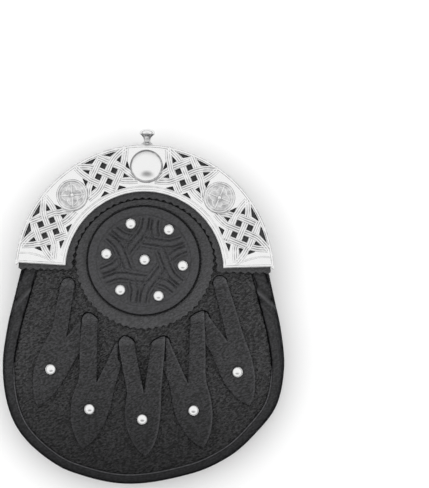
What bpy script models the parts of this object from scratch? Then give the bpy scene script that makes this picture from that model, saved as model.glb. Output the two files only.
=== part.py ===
"""Sporran pouch: a black leather pouch with a pierced metal cantle, lying on its back.

X runs across the pouch, +Y towards the finial on the cantle and +Z up from the surface under it.
The origin is the middle of the bottom of its bounding box. Every size is in metres.
Left and right are as seen from the front.
"""
import math
from collections import namedtuple

import bmesh
import bpy
from mathutils import Vector
from mathutils.geometry import delaunay_2d_cdt, interpolate_bezier

MM = 0.001
GAP = 0.3 * MM  # between pieces that touch

# Body outline. The soft pouch leans a little, so each side has its own half width.
CROWN_HEIGHT = 99.6 * MM
BOTTOM_POINT = Vector((-9.0 * MM, -113.7 * MM))
# height, left half width, right half width (mm)
BODY_SIDES = (
    (89.1, 39.3, 39.3),
    (60.4, 68.0, 68.0),
    (27.0, 78.2, 78.2),
    (6.0, 83.2, 83.3),
    (-14.0, 87.6, 87.9),
    (-38.0, 90.3, 90.3),
    (-62.0, 87.4, 85.8),
    (-80.0, 79.7, 72.8),
    (-95.0, 65.3, 56.3),
    (-106.5, 45.5, 32.0),
)

# The front wall bows gently both ways; the back wall is flat where the pouch lies on it.
FRONT_PEAK = 27.0 * MM
FRONT_PEAK_HEIGHT = -25.0 * MM
FRONT_CROSS_RADIUS = 1067.0 * MM
FRONT_LONG_RADIUS = 880.0 * MM
BACK_LIFT = 5.3 * MM  # room under the upper back for the strap, its stud and the rings
BACK_LIFT_FROM = -72.0 * MM
BACK_LIFT_TO = 10.0 * MM
FRONT_WALL = 2.0 * MM
BACK_WALL = 2.0 * MM
GUSSET_WALL = 1.8 * MM
BACK_INSET = 2.6 * MM
# Width of the rolled band between the outline and the front seam: height, width (mm)
BAND_WIDTHS = ((-113.7, 6.8), (-38.0, 8.2), (23.0, 10.6), (48.0, 10.6), (62.0, 4.0), (99.6, 4.0))
BAND_CROWN = 0.9 * MM
BAND_TUCK = 1.9 * MM  # the band dips to pass under the cantle
BAND_TUCK_FROM = 12.0 * MM
BAND_TUCK_TO = 21.0 * MM
# Folds that run down across the band below the cantle's feet:
# side (-1 left, 1 right), height at the seam, height at the outline, depth (mm)
BAND_FOLDS = (
    (-1.0, 15.0, 1.0, 0.9),
    (-1.0, -4.0, -20.0, 0.4),
    (1.0, 17.5, 3.5, 1.1),
    (1.0, 1.0, -14.0, 0.4),
)
BAND_FOLD_HALF_WIDTH = 4.0 * MM
BAND_FOLD_REACH = 26.0 * MM  # the folds lie within this height of the middle
MOUTH_HEIGHT = 46.0 * MM  # the gusset ends here on both sides, and the mouth runs over the top
SEAM_ALLOWANCE = 9.0 * MM

# Cantle: a cast arch between two circles, cut off level at its feet.
CANTLE_OUTER_RADIUS = 82.5 * MM
CANTLE_OUTER_CENTRE = 21.1 * MM
CANTLE_INNER_RADIUS = 50.2 * MM
CANTLE_INNER_CENTRE = 23.3 * MM
CANTLE_FOOT_OUTER = 27.05 * MM
CANTLE_FOOT_INNER = 25.75 * MM
CANTLE_TIP = 1.8 * MM
CANTLE_PLATE = 1.6 * MM
CANTLE_RIM_WIDTH = 1.5 * MM
CANTLE_RIM_RISE = 0.5 * MM
CANTLE_FLANGE = 3.4 * MM
CANTLE_BAR_RISE = 0.4 * MM
CANTLE_MID_RADIUS = 67.3 * MM
CANTLE_MID_CENTRE = 22.2 * MM
CANTLE_OUTER_POINTS = 37
CANTLE_INNER_POINTS = 29
PANEL_ANGLES = (23.8, 67.8, 112.2, 156.2)
MEDALLION_ANGLES = (45.9, 134.1)
# Plait of one panel, in units of half the diagonal pitch: out from the middle, along the arch.
PLAIT_UNIT = 5.4 * MM
SQUARE_HOLE_HALF_DIAGONAL = 2.45 * MM
SQUARE_HOLES = ((1, 0), (-1, 0), (0, 1), (0, -1))
PLAIT_CROSSINGS = ((0, 0), (1, 1), (1, -1), (-1, 1), (-1, -1))
PLAIT_BAR_HALF_WIDTH = 1.8 * MM
PLAIT_BAR_HALF_LENGTH = 5.2 * MM
# Three-cornered holes round the plait, mirrored along the arch: out and along for each corner (mm)
EDGE_HOLES = (
    ((9.5, 5.5), (11.8, 2.0), (11.3, 12.6)),
    ((5.5, 9.0), (6.9, 12.9), (3.8, 10.6)),
    ((-5.7, 8.9), (-3.7, 10.5), (-7.1, 12.9)),
    ((-9.8, 5.7), (-12.3, 8.7), (-12.4, 2.5)),
)
END_HOLE = ((0.0, 12.9), (2.6, 15.0), (-2.5, 14.8))

BACKING_THICKNESS = 1.9 * MM
BACKING_OUTER_RADIUS = 80.3 * MM
BACKING_INNER_RADIUS = 46.6 * MM
BACKING_FOOT = 23.6 * MM
PINKING_PITCH = 5.0 * MM
PINKING_DEPTH = 1.7 * MM

DOME_CENTRE = Vector((0.0, 89.8 * MM))
DOME_RADIUS = 10.5 * MM
DOME_HEIGHT = 5.4 * MM
DOME_COLLAR_WIDTH = 0.9 * MM
DOME_COLLAR_HEIGHT = 1.1 * MM
MEDALLION_RADIUS = 10.1 * MM
MEDALLION_THICKNESS = 1.8 * MM
MEDALLION_RIM_WIDTH = 1.2 * MM
MEDALLION_RIM_RISE = 0.6 * MM
MEDALLION_CROSS_RISE = 0.5 * MM
MEDALLION_KNOB_RADIUS = 2.0 * MM
MEDALLION_KNOB_RISE = 1.1 * MM
# Corners of one arm of the medallion's cross: turn in degrees, reach (mm)
MEDALLION_ARM = ((-16.0, 7.9), (16.0, 7.9), (45.0, 3.2))
FINIAL_FOOT = 103.95 * MM
FINIAL_LENGTH = 9.75 * MM
# Share of the finial's length and its radius there (mm), from the cap's top to the foot
FINIAL_ROWS = (
    (1.0, 0.0),
    (0.97, 2.6),
    (0.86, 4.4),
    (0.74, 4.7),
    (0.62, 4.2),
    (0.5, 2.9),
    (0.34, 2.0),
    (0.22, 2.1),
    (0.1, 3.1),
    (0.0, 3.4),
    (0.0, 0.0),
)

# Round boss on the front
BOSS_CENTRE = Vector((0.0, 30.2 * MM))
BOSS_PATCH_RADIUS = 44.5 * MM
BOSS_PATCH_THICKNESS = 1.4 * MM
BOSS_RADIUS = 35.7 * MM
BOSS_FIELD_RADIUS = 30.2 * MM
BOSS_FIELD_THICKNESS = 1.8 * MM
BOSS_RING_RISE = 0.9 * MM
BOSS_RIB_RISE = 0.6 * MM
BOSS_RIB_HALF_WIDTH = 1.3 * MM
# Each rib runs over this share of the line between two crossings
BOSS_RIB_START = 0.17
BOSS_RIB_END = 0.83
BOSS_POINT_RIB_END = 0.78
BOSS_STAR_RADIUS = 28.5 * MM
BOSS_STUD_CIRCLE = 24.5 * MM
BOSS_STUD_TURN = -7.8
STUD_RADIUS = 3.45 * MM
STUD_HEIGHT = 2.4 * MM
STUD_COLLAR = 0.7 * MM

# Leather leaves. Each hangs on two legs from two of six arch-topped slits.
LEAF_THICKNESS = 1.6 * MM
LEG_HALF_WIDTH = 5.4 * MM
ARCH_LENGTH = 5.0 * MM
ARCH_DIP = 2.2 * MM
UNDER_LEG_START = 11.6 * MM
OVER_LEG_RISE = 10.0 * MM
OVER_LEG_HOLD = 29.0 * MM
OVER_LEG_END = 37.0 * MM
SLITS = {
    "a": (-47.8, 17.8),
    "b": (-34.1, -4.2),
    "c": (-10.4, -18.4),
    "d": (10.6, -18.3),
    "e": (35.1, -1.7),
    "f": (46.8, 20.7),
}
Leaf = namedtuple("Leaf", "left_slit left_way right_slit right_way fork stud tip half_width")
# Slits and how the leg from each lies; fork, stud and tip (mm); half width (mm)
LEAVES = (
    Leaf("a", "alone", "b", "under", (-48.6, -19.3), (-58.5, -40.4), (-66.8, -64.3), 11.3),
    Leaf("b", "over", "c", "under", (-28.9, -47.8), (-33.4, -65.2), (-37.5, -90.7), 12.6),
    Leaf("c", "over", "d", "over", (1.1, -53.9), (0.2, -71.1), (2.4, -95.0), 11.5),
    Leaf("d", "under", "e", "over", (28.9, -47.6), (32.7, -64.9), (39.0, -88.8), 12.4),
    Leaf("e", "under", "f", "alone", (53.5, -20.5), (60.2, -40.1), (68.3, -61.7), 11.5),
)
# Share of the way from fork to tip, and the leaf's width there as a share of its full width
LEAF_FORK_WIDTH = 0.95
LEAF_TAPER = ((0.28, 1.0), (0.55, 0.9), (0.78, 0.62), (0.92, 0.3))

# Closure strap: height, Z of its middle, half width (mm), from inside the front to its tip
STRAP_THICKNESS = 1.8 * MM
STRAP_ROWS = (
    (82.0, 17.2, 13.5),
    (93.0, 15.75, 13.8),
    (97.9, 13.9, 13.9),
    (99.9, 10.2, 14.0),
    (99.9, 6.2, 14.0),
    (98.3, 4.1, 14.0),
    (77.0, 4.1, 14.5),
    (68.5, 4.1, 15.2),
    (63.0, 2.2, 15.4),
    (57.0, 2.2, 15.1),
    (51.0, 2.2, 13.4),
    (46.0, 2.2, 10.9),
    (42.0, 2.2, 7.9),
    (39.0, 2.2, 4.8),
    (37.2, 2.2, 2.2),
    (36.5, 2.2, 0.5),
)
SNAP_CENTRE = Vector((0.0, 77.6 * MM))
SNAP_RADIUS = 7.65 * MM
SNAP_HEIGHT = 2.9 * MM
SNAP_FACE_RADIUS = 2.4 * MM
SNAP_EDGE = 0.9 * MM

# Patch on the back: height, half width (mm), from its top edge to its point
PATCH_THICKNESS = 1.6 * MM
PATCH_ROWS = (
    (60.7, 24.6),
    (42.0, 22.7),
    (25.0, 23.2),
    (12.0, 25.6),
    (6.2, 27.6),
    (-28.4, 1.0),
)

# D-rings, in folded loops beside the patch
RING_HINGE_X = 27.5 * MM
RING_HINGE_HEIGHT = 35.0 * MM
RING_HINGE_Z = 2.55 * MM
RING_WIRE_RADIUS = 1.15 * MM
RING_HALF_HEIGHT = 10.05 * MM
RING_DEPTH = 12.2 * MM
RING_CORNER = 2.2 * MM
LOOP_WALL = 1.0 * MM
LOOP_HALF_LENGTH = 8.1 * MM
LOOP_TAIL_END = 23.6 * MM

BLACK = (0.012, 0.012, 0.013)
WORN_BLACK = (0.02, 0.02, 0.021)
SILVER = (0.83, 0.83, 0.82)
NICKEL = (0.42, 0.41, 0.4)
GRAINED_LEATHER = (BLACK, 0.0, 0.5)
SMOOTH_LEATHER = (BLACK, 0.0, 0.35)
SOFT_LEATHER = (WORN_BLACK, 0.0, 0.6)
POLISHED_METAL = (SILVER, 1.0, 0.12)
DARK_METAL = (NICKEL, 1.0, 0.22)


# Heights and outlines


def blend(value, start, end):
    """Smooth step from 0 at start to 1 at end."""
    share = min(1.0, max(0.0, (value - start) / (end - start)))
    return share * share * (3.0 - 2.0 * share)


def front_z(x, y):
    """Outer surface of the front wall."""
    rise = y - FRONT_PEAK_HEIGHT
    return FRONT_PEAK - x * x / (2.0 * FRONT_CROSS_RADIUS) - rise * rise / (2.0 * FRONT_LONG_RADIUS)


def back_z(x, y):
    """Outer surface of the back wall."""
    return BACK_LIFT * blend(y, BACK_LIFT_FROM, BACK_LIFT_TO)


def above_front(lift):
    """Height function that lies the given distance above the front wall."""
    return lambda x, y: front_z(x, y) + lift


def below_back(drop):
    """Height function that lies the given distance below the back wall."""
    return lambda x, y: back_z(x, y) - drop


def band_width(y):
    """Width of the rolled band at this height."""
    rows = [(height * MM, width * MM) for height, width in BAND_WIDTHS]
    for (low, start), (high, end) in zip(rows, rows[1:]):
        if y <= high:
            return start + (end - start) * max(0.0, (y - low) / (high - low))
    return rows[-1][1]


def smooth_loop(points, steps=12):
    """Smooth closed curve through the points."""
    count = len(points)
    slopes = []
    for index, point in enumerate(points):
        before = points[index - 1]
        after = points[(index + 1) % count]
        slopes.append((after - before) / ((point - before).length + (after - point).length))
    curve = []
    for index, start in enumerate(points):
        end = points[(index + 1) % count]
        reach = (end - start).length / 3.0
        handle_out = start + slopes[index] * reach
        handle_in = end - slopes[(index + 1) % count] * reach
        curve.extend(interpolate_bezier(start, handle_out, handle_in, end, steps + 1)[:-1])
    return curve


def evenly(loop, count):
    """Closed loop resampled to equal steps."""
    closed = [*loop, loop[0]]
    lengths = [0.0]
    for start, end in zip(closed, closed[1:]):
        lengths.append(lengths[-1] + (end - start).length)
    picked = []
    span = 0
    for index in range(count):
        target = lengths[-1] * index / count
        while lengths[span + 1] < target:
            span += 1
        share = (target - lengths[span]) / (lengths[span + 1] - lengths[span])
        picked.append(closed[span].lerp(closed[span + 1], share))
    return picked


def inward(loop):
    """Unit normals that point into a counter-clockwise loop."""
    normals = []
    for index in range(len(loop)):
        along = (loop[(index + 1) % len(loop)] - loop[index - 1]).normalized()
        normals.append(Vector((-along.y, along.x)))
    return normals


def body_loop(count):
    """Outline of the pouch, counter-clockwise from the crown."""
    left = [Vector((-left_half * MM, height * MM)) for height, left_half, _ in BODY_SIDES]
    right = [Vector((right_half * MM, height * MM)) for height, _, right_half in BODY_SIDES]
    corners = [Vector((0.0, CROWN_HEIGHT)), *left, BOTTOM_POINT, *reversed(right)]
    return evenly(smooth_loop(corners), count)


def inset_body(count, inset):
    """Body outline moved inwards; inset is a function of the height."""
    loop = body_loop(count)
    return [point + normal * inset(point.y) for point, normal in zip(loop, inward(loop))]


def circle(centre, radius, count, turn=0.0):
    """Counter-clockwise circle."""
    angles = [math.radians(turn) + 2.0 * math.pi * step / count for step in range(count)]
    return [centre + Vector((math.cos(angle), math.sin(angle))) * radius for angle in angles]


def bar(start, end, half_width):
    """Four corners of a straight bar."""
    along = (end - start).normalized()
    side = Vector((-along.y, along.x)) * half_width
    return [start - side, end - side, end + side, start + side]


def arc(centre_y, radius, start, end, count):
    """Points on a circle about (0, centre_y) from one angle in radians to another."""
    angles = [start + (end - start) * step / (count - 1) for step in range(count)]
    return [Vector((math.cos(a) * radius, centre_y + math.sin(a) * radius)) for a in angles]


def holds(loop, point):
    """Whether the point is inside the loop."""
    inside = False
    for start, end in zip(loop, [*loop[1:], loop[0]]):
        if (start.y > point.y) != (end.y > point.y):
            crossing = start.x + (point.y - start.y) * (end.x - start.x) / (end.y - start.y)
            inside = inside != (point.x < crossing)
    return inside


# Solids


def middle(corners, triangle):
    """Centre of a plan triangle."""
    return sum((corners[corner] for corner in triangle), Vector((0.0, 0.0))) / 3.0


def filling(outer, holes, creases, spacing):
    """Staggered points inside an outline that keep clear of its loops."""
    edge_points = [point for loop in (outer, *holes, *creases) for point in loop]
    low_x = min(point.x for point in outer)
    high_x = max(point.x for point in outer)
    low_y = min(point.y for point in outer)
    high_y = max(point.y for point in outer)
    row_step = spacing * math.sqrt(0.75)
    points = []
    for row in range(int((high_y - low_y) / row_step) + 1):
        for column in range(int((high_x - low_x) / spacing) + 2):
            offset = spacing / 2.0 if row % 2 else 0.0
            point = Vector((low_x + column * spacing - offset, low_y + row * row_step))
            if not holds(outer, point) or any(holds(hole, point) for hole in holes):
                continue
            if min((point - other).length for other in edge_points) > spacing * 0.5:
                points.append(point)
    return points


def plan(outer, holes=(), creases=(), links=(), spacing=None):
    """Triangles over an outline. Holes stay open and creases stay edges; links join loop points."""
    points = []
    loops = []
    for loop in (outer, *holes, *creases):
        loops.append(list(range(len(points), len(points) + len(loop))))
        points.extend(loop)
    edges = []
    for loop in loops[1 + len(holes):]:
        edges.extend(zip(loop, [*loop[1:], loop[0]]))
    for (first_loop, first), (second_loop, second) in links:
        edges.append((loops[first_loop][first], loops[second_loop][second]))
    if spacing:
        points.extend(filling(outer, holes, creases, spacing))
    faces = loops[:1 + len(holes)]
    corners, _, triangles, *_ = delaunay_2d_cdt(points, edges, faces, 1, 1e-8)
    kept = []
    for triangle in triangles:
        place = middle(corners, triangle)
        if not any(holds(hole, place) for hole in holes):
            kept.append(triangle)
    return corners, kept


def terrace(name, shape, under, over, rises=None, drops=None):
    """Closed solid over a plan. Rises lift single triangles of its top; drops lower its underside."""
    corners, triangles = shape
    rises = rises or [0.0] * len(triangles)
    drops = drops or [0.0] * len(triangles)
    body = bmesh.new()
    tops = [{} for _ in corners]
    feet = [{} for _ in corners]
    for triangle, rise, drop in zip(triangles, rises, drops):
        for corner in triangle:
            x, y = corners[corner]
            if rise not in tops[corner]:
                tops[corner][rise] = body.verts.new((x, y, over(x, y) + rise))
            if drop not in feet[corner]:
                feet[corner][drop] = body.verts.new((x, y, under(x, y) - drop))
        body.faces.new([tops[corner][rise] for corner in triangle])
        body.faces.new([feet[corner][drop] for corner in reversed(triangle)])

    def top_steps(corner, low, high):
        return [tops[corner][rise] for rise in sorted(tops[corner]) if low <= rise <= high]

    def foot_steps(corner, high, low):
        return [feet[corner][drop] for drop in sorted(feet[corner], reverse=True) if low <= drop <= high]

    owners = {}
    for index, triangle in enumerate(triangles):
        for start, end in zip(triangle, [*triangle[1:], triangle[0]]):
            owners[start, end] = index
    for (start, end), index in owners.items():
        other = owners.get((end, start))
        if other is None:
            climb = foot_steps(end, drops[index], 0.0) + top_steps(end, 0.0, rises[index])
            descent = foot_steps(start, drops[index], 0.0) + top_steps(start, 0.0, rises[index])
            body.faces.new(climb + descent[::-1])
            continue
        if rises[index] > rises[other]:
            climb = top_steps(end, rises[other], rises[index])
            body.faces.new(climb + top_steps(start, rises[other], rises[index])[::-1])
        if drops[index] > drops[other]:
            climb = foot_steps(end, drops[index], drops[other])
            body.faces.new(climb + foot_steps(start, drops[index], drops[other])[::-1])
    return finished(name, body)


def turned(name, profile, segments):
    """Solid turned about local Z from (radius, height) pairs that run from the top of its axis down."""
    body = bmesh.new()
    spine = [body.verts.new((radius, 0.0, height)) for radius, height in profile]
    edges = [body.edges.new(pair) for pair in zip(spine, spine[1:])]
    bmesh.ops.spin(
        body, geom=spine + edges, cent=(0.0, 0.0, 0.0), axis=(0.0, 0.0, 1.0),
        angle=2.0 * math.pi, steps=segments, use_merge=True,
    )
    bmesh.ops.remove_doubles(body, verts=body.verts, dist=1e-6)
    bmesh.ops.recalc_face_normals(body, faces=body.faces)
    return finished(name, body)


def lofted(name, sections, closed=False):
    """Solid through rings of equal point count, with flat ends unless the row of rings closes."""
    body = bmesh.new()
    rings = [[body.verts.new(point) for point in section] for section in sections]
    pairs = list(zip(rings, rings[1:]))
    if closed:
        pairs.append((rings[-1], rings[0]))
    else:
        body.faces.new(rings[0])
        body.faces.new(rings[-1])
    for first, second in pairs:
        for index in range(len(first)):
            after = (index + 1) % len(first)
            body.faces.new((first[index], first[after], second[after], second[index]))
    bmesh.ops.recalc_face_normals(body, faces=body.faces)
    return finished(name, body)


def finished(name, body):
    """Object for a finished mesh, shaded smooth except at its sharp edges."""
    mesh = bpy.data.meshes.new(name)
    body.to_mesh(mesh)
    body.free()
    mesh.shade_smooth()
    mesh.set_sharp_from_angle(angle=math.radians(35.0))
    piece = bpy.data.objects.new(name, mesh)
    bpy.context.scene.collection.objects.link(piece)
    return piece


def coat(piece, finish):
    """The piece's own material."""
    colour, metallic, roughness = finish
    material = bpy.data.materials.new(piece.name)
    material.use_nodes = True
    shader = material.node_tree.nodes["Principled BSDF"]
    shader.inputs["Base Color"].default_value = (*colour, 1.0)
    shader.inputs["Metallic"].default_value = metallic
    shader.inputs["Roughness"].default_value = roughness
    piece.data.materials.append(material)


def seat(piece, place, lift):
    """Stand a piece on the front wall's slope, with its foot the given distance above the wall."""
    normal = Vector((place.x / FRONT_CROSS_RADIUS, (place.y - FRONT_PEAK_HEIGHT) / FRONT_LONG_RADIUS, 1.0))
    normal.normalize()
    foot = Vector((place.x, place.y, front_z(place.x, place.y)))
    piece.location = foot + normal * lift
    piece.rotation_euler = Vector((0.0, 0.0, 1.0)).rotation_difference(normal).to_euler()


# Pouch body


def leg_frame(slit, fork_edge, fork):
    """Start of a leg at its slit, its direction and the direction to its right."""
    start = Vector(SLITS[slit]) * MM
    along = ((fork_edge + fork) / 2.0 - start).normalized()
    return start, along, Vector((-along.y, along.x))


def fork_points(leaf):
    """Left edge, middle and right edge of a leaf at its fork."""
    fork = Vector(leaf.fork) * MM
    along = (Vector(leaf.stud) * MM - fork).normalized()
    reach = Vector((-along.y, along.x)) * leaf.half_width * MM * LEAF_FORK_WIDTH
    return fork - reach, fork, fork + reach


def arch_hole(slit, fork_edge, fork):
    """Arch-topped slit in the front wall where a leg comes out."""
    start, along, right = leg_frame(slit, fork_edge, fork)
    half_width = LEG_HALF_WIDTH + GAP
    hole = []
    for step in range(9):
        angle = math.pi * step / 8.0
        down = ARCH_LENGTH - (ARCH_LENGTH + GAP) * math.sin(angle)
        hole.append(start + along * down + right * math.cos(angle) * half_width)
    return hole


def make_front_panel():
    """Front wall with a slit under each leg that lies on top."""
    holes = []
    for leaf in LEAVES:
        left_edge, fork, right_edge = fork_points(leaf)
        if leaf.left_way != "under":
            holes.append(arch_hole(leaf.left_slit, left_edge, fork))
        if leaf.right_way != "under":
            holes.append(arch_hole(leaf.right_slit, right_edge, fork))
    outline = inset_body(64, lambda y: band_width(y) + GAP)
    shape = plan(outline, holes=holes, spacing=17.0 * MM)
    piece = terrace("front_panel", shape, above_front(-FRONT_WALL), above_front(0.0))
    coat(piece, GRAINED_LEATHER)


def fold_dent(point, share):
    """Depth of the folds at a station of the band; share runs from 0 at the outline to 1 at the seam."""
    dent = 0.0
    for side, seam_height, outline_height, depth in BAND_FOLDS:
        line = (outline_height + (seam_height - outline_height) * share) * MM
        distance = (point.y - line) / BAND_FOLD_HALF_WIDTH
        if side * point.x > 0.0:
            dent += depth * MM * math.exp(-distance * distance)
    return dent


def gusset_section(point, normal):
    """Wall section of the gusset: its outer face from the front seam to the back, then its inner face."""
    width = band_width(point.y)
    seam = point + normal * width
    front = front_z(seam.x, seam.y)
    back = back_z(point.x, point.y)
    tuck = BAND_TUCK * blend(point.y, BAND_TUCK_FROM, BAND_TUCK_TO)
    # share of the band's width in from the outline, height over the front seam
    band = ((0.92, 0.1 * MM), (0.64, BAND_CROWN), (0.3, -0.6 * MM), (0.06, -5.0 * MM))
    path = [Vector((width, front - FRONT_WALL))]
    for share, rise in band:
        path.append(Vector((width * share, front + rise - tuck - fold_dent(point, share))))
    # distance in from the outline, height
    back_rows = (
        (0.0, (front + back) * 0.5),
        (0.8 * MM, back + 5.6 * MM),
        (BACK_INSET + 0.6 * MM, back + BACK_WALL + 0.6 * MM),
        (SEAM_ALLOWANCE, back + BACK_WALL + GAP),
    )
    path.extend(Vector(row) for row in back_rows)
    inner = []
    for index, place in enumerate(path):
        before = path[max(index - 1, 0)]
        after = path[min(index + 1, len(path) - 1)]
        along = (after - before).normalized()
        inner.append(place + Vector((-along.y, along.x)) * GUSSET_WALL)
    section = []
    for inset, height in [*path, *reversed(inner)]:
        spot = point + normal * inset
        section.append((spot.x, spot.y, height))
    return section


def make_gusset():
    """Side wall that rolls over at the front as a smooth band, open over the mouth."""
    loop = body_loop(180)
    normals = inward(loop)
    covered = [index for index, point in enumerate(loop) if point.y < MOUTH_HEIGHT]
    stations = []
    for count, index in enumerate(covered):
        step = 2 if abs(loop[index].y) < BAND_FOLD_REACH else 4
        if count % step == 0 or index == covered[-1]:
            stations.append(index)
    sections = [gusset_section(loop[index], normals[index]) for index in stations]
    coat(lofted("gusset", sections), SMOOTH_LEATHER)


def make_back_panel():
    """Back wall, flat where the pouch lies on it."""
    shape = plan(inset_body(60, lambda y: BACK_INSET), spacing=19.0 * MM)
    piece = terrace("back_panel", shape, back_z, lambda x, y: back_z(x, y) + BACK_WALL)
    coat(piece, GRAINED_LEATHER)


# Cantle and its ornaments


def cantle_loop(inset, tips):
    """Outline of the cantle, moved inwards by inset, with or without the points at its feet."""
    outer_radius = CANTLE_OUTER_RADIUS - inset
    inner_radius = CANTLE_INNER_RADIUS + inset
    outer_start = math.asin((CANTLE_FOOT_OUTER + inset - CANTLE_OUTER_CENTRE) / outer_radius)
    inner_start = math.asin((CANTLE_FOOT_INNER + inset - CANTLE_INNER_CENTRE) / inner_radius)
    outer = arc(CANTLE_OUTER_CENTRE, outer_radius, outer_start, math.pi - outer_start, CANTLE_OUTER_POINTS)
    inner = arc(CANTLE_INNER_CENTRE, inner_radius, math.pi - inner_start, inner_start, CANTLE_INNER_POINTS)
    if tips:
        left_tip = outer[-1] + Vector((0.3 * MM, -CANTLE_TIP))
        left_root = outer[-1] + Vector((2.6 * MM, -0.1 * MM))
        mirrored = [Vector((-point.x, point.y)) for point in (left_root, left_tip)]
        return [*outer, left_tip, left_root, *inner, *mirrored]
    return [*outer, *inner]


def panel_places():
    """Middle of each pierced panel, with its directions out from the middle and along the arch."""
    for angle in PANEL_ANGLES:
        out = Vector((math.cos(math.radians(angle)), math.sin(math.radians(angle))))
        along = Vector((-out.y, out.x))
        yield Vector((0.0, CANTLE_MID_CENTRE)) + out * CANTLE_MID_RADIUS, out, along


def panel_holes():
    """Holes of the plaited panels."""
    holes = []
    for centre, out, along in panel_places():
        for step_out, step_along in SQUARE_HOLES:
            place = centre + (out * step_out + along * step_along) * PLAIT_UNIT
            reach = out * SQUARE_HOLE_HALF_DIAGONAL
            side = along * SQUARE_HOLE_HALF_DIAGONAL
            holes.append([place + reach, place + side, place - reach, place - side])
        for mirror in (1.0, -1.0):
            for hole in (*EDGE_HOLES, END_HOLE):
                corners = [centre + (out * far + along * far_along * mirror) * MM for far, far_along in hole]
                holes.append(corners)
    return holes


def panel_bars():
    """Raised stretches of band, where one band of the plait crosses over another."""
    bars = []
    for centre, out, along in panel_places():
        for step_out, step_along in PLAIT_CROSSINGS:
            place = centre + (out * step_out + along * step_along) * PLAIT_UNIT
            lean = 1.0 if step_out % 2 == 0 else -1.0
            direction = (out + along * lean).normalized() * PLAIT_BAR_HALF_LENGTH
            bars.append(bar(place - direction, place + direction, PLAIT_BAR_HALF_WIDTH))
    return bars


def make_cantle():
    """Pierced arch with a raised rim, raised plait crossings and a flange turned back over the pouch."""
    outline = cantle_loop(0.0, tips=True)
    rim_line = cantle_loop(CANTLE_RIM_WIDTH, tips=False)
    bars = panel_bars()
    holes = panel_holes()
    rim_loop = 1 + len(holes)
    last_outer = CANTLE_OUTER_POINTS - 1
    # edges from each end of the two arcs to the rim line, so that the rim keeps its width at the feet
    links = (
        ((0, 0), (rim_loop, 0)),
        ((0, last_outer), (rim_loop, last_outer)),
        ((0, last_outer + 3), (rim_loop, last_outer + 1)),
        ((0, len(outline) - 3), (rim_loop, len(rim_line) - 1)),
    )
    shape = plan(outline, holes=holes, creases=[rim_line, *bars], links=links)
    centre = Vector((0.0, CANTLE_OUTER_CENTRE))
    rises = []
    drops = []
    for triangle in shape[1]:
        place = middle(shape[0], triangle)
        on_rim = not holds(rim_line, place)
        on_bar = any(holds(loop, place) for loop in bars)
        rises.append(CANTLE_RIM_RISE if on_rim else CANTLE_BAR_RISE if on_bar else 0.0)
        far_out = (place - centre).length > CANTLE_OUTER_RADIUS - CANTLE_RIM_WIDTH
        above_foot = place.y > CANTLE_FOOT_OUTER + CANTLE_RIM_WIDTH
        drops.append(CANTLE_FLANGE if on_rim and far_out and above_foot else 0.0)
    foot = 2.0 * GAP + BACKING_THICKNESS
    piece = terrace("cantle", shape, above_front(foot), above_front(foot + CANTLE_PLATE), rises, drops)
    coat(piece, POLISHED_METAL)


def cantle_top():
    """Height of the cantle's plate above the front wall."""
    return 2.0 * GAP + BACKING_THICKNESS + CANTLE_PLATE


def make_dome():
    """Plain dome at the top of the cantle, on a low collar."""
    profile = [(0.0, DOME_HEIGHT)]
    cap_radius = DOME_RADIUS - DOME_COLLAR_WIDTH
    cap_height = DOME_HEIGHT - DOME_COLLAR_HEIGHT
    for step in range(1, 6):
        angle = math.pi / 2.0 * step / 5.0
        profile.append((cap_radius * math.sin(angle), DOME_COLLAR_HEIGHT + cap_height * math.cos(angle)))
    profile.extend([(DOME_RADIUS, DOME_COLLAR_HEIGHT * 0.8), (DOME_RADIUS, 0.0), (0.0, 0.0)])
    piece = turned("cantle_dome", profile, 20)
    seat(piece, DOME_CENTRE, cantle_top() + GAP)
    coat(piece, POLISHED_METAL)


def make_medallion(name, angle):
    """Disc with a raised rim, a four-armed cross and a middle knob."""
    centre = Vector((0.0, 0.0))
    outline = circle(centre, MEDALLION_RADIUS, 24)
    rim_line = circle(centre, MEDALLION_RADIUS - MEDALLION_RIM_WIDTH, 24)
    knob = circle(centre, MEDALLION_KNOB_RADIUS, 8)
    cross = []
    for arm in range(4):
        for turn, reach in MEDALLION_ARM:
            direction = math.radians(arm * 90.0 + turn)
            cross.append(Vector((math.cos(direction), math.sin(direction))) * reach * MM)
    shape = plan(outline, creases=[rim_line, cross, knob])
    rises = []
    for triangle in shape[1]:
        place = middle(shape[0], triangle)
        if not holds(rim_line, place):
            rises.append(MEDALLION_RIM_RISE)
        elif holds(knob, place):
            rises.append(MEDALLION_KNOB_RISE)
        else:
            rises.append(MEDALLION_CROSS_RISE if holds(cross, place) else 0.0)
    piece = terrace(name, shape, lambda x, y: 0.0, lambda x, y: MEDALLION_THICKNESS, rises)
    out = Vector((math.cos(math.radians(angle)), math.sin(math.radians(angle))))
    seat(piece, Vector((0.0, CANTLE_MID_CENTRE)) + out * CANTLE_MID_RADIUS, cantle_top() + GAP)
    coat(piece, POLISHED_METAL)


def make_finial():
    """Turned knob that stands on the crown of the cantle, pointing up the pouch."""
    profile = [(radius * MM, FINIAL_LENGTH * share) for share, radius in FINIAL_ROWS]
    piece = turned("finial", profile, 14)
    level = front_z(0.0, FINIAL_FOOT) + cantle_top() - CANTLE_PLATE
    piece.location = (0.0, FINIAL_FOOT, level)
    piece.rotation_euler = (math.radians(-90.0), 0.0, 0.0)
    coat(piece, POLISHED_METAL)


def pinked(start, end, outward):
    """Teeth along a straight run: a valley and a point for each pitch."""
    count = max(1, round((end - start).length / PINKING_PITCH))
    teeth = []
    for step in range(count):
        teeth.append(start.lerp(end, step / count))
        teeth.append(start.lerp(end, (step + 0.5) / count) + outward * PINKING_DEPTH)
    return teeth


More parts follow.
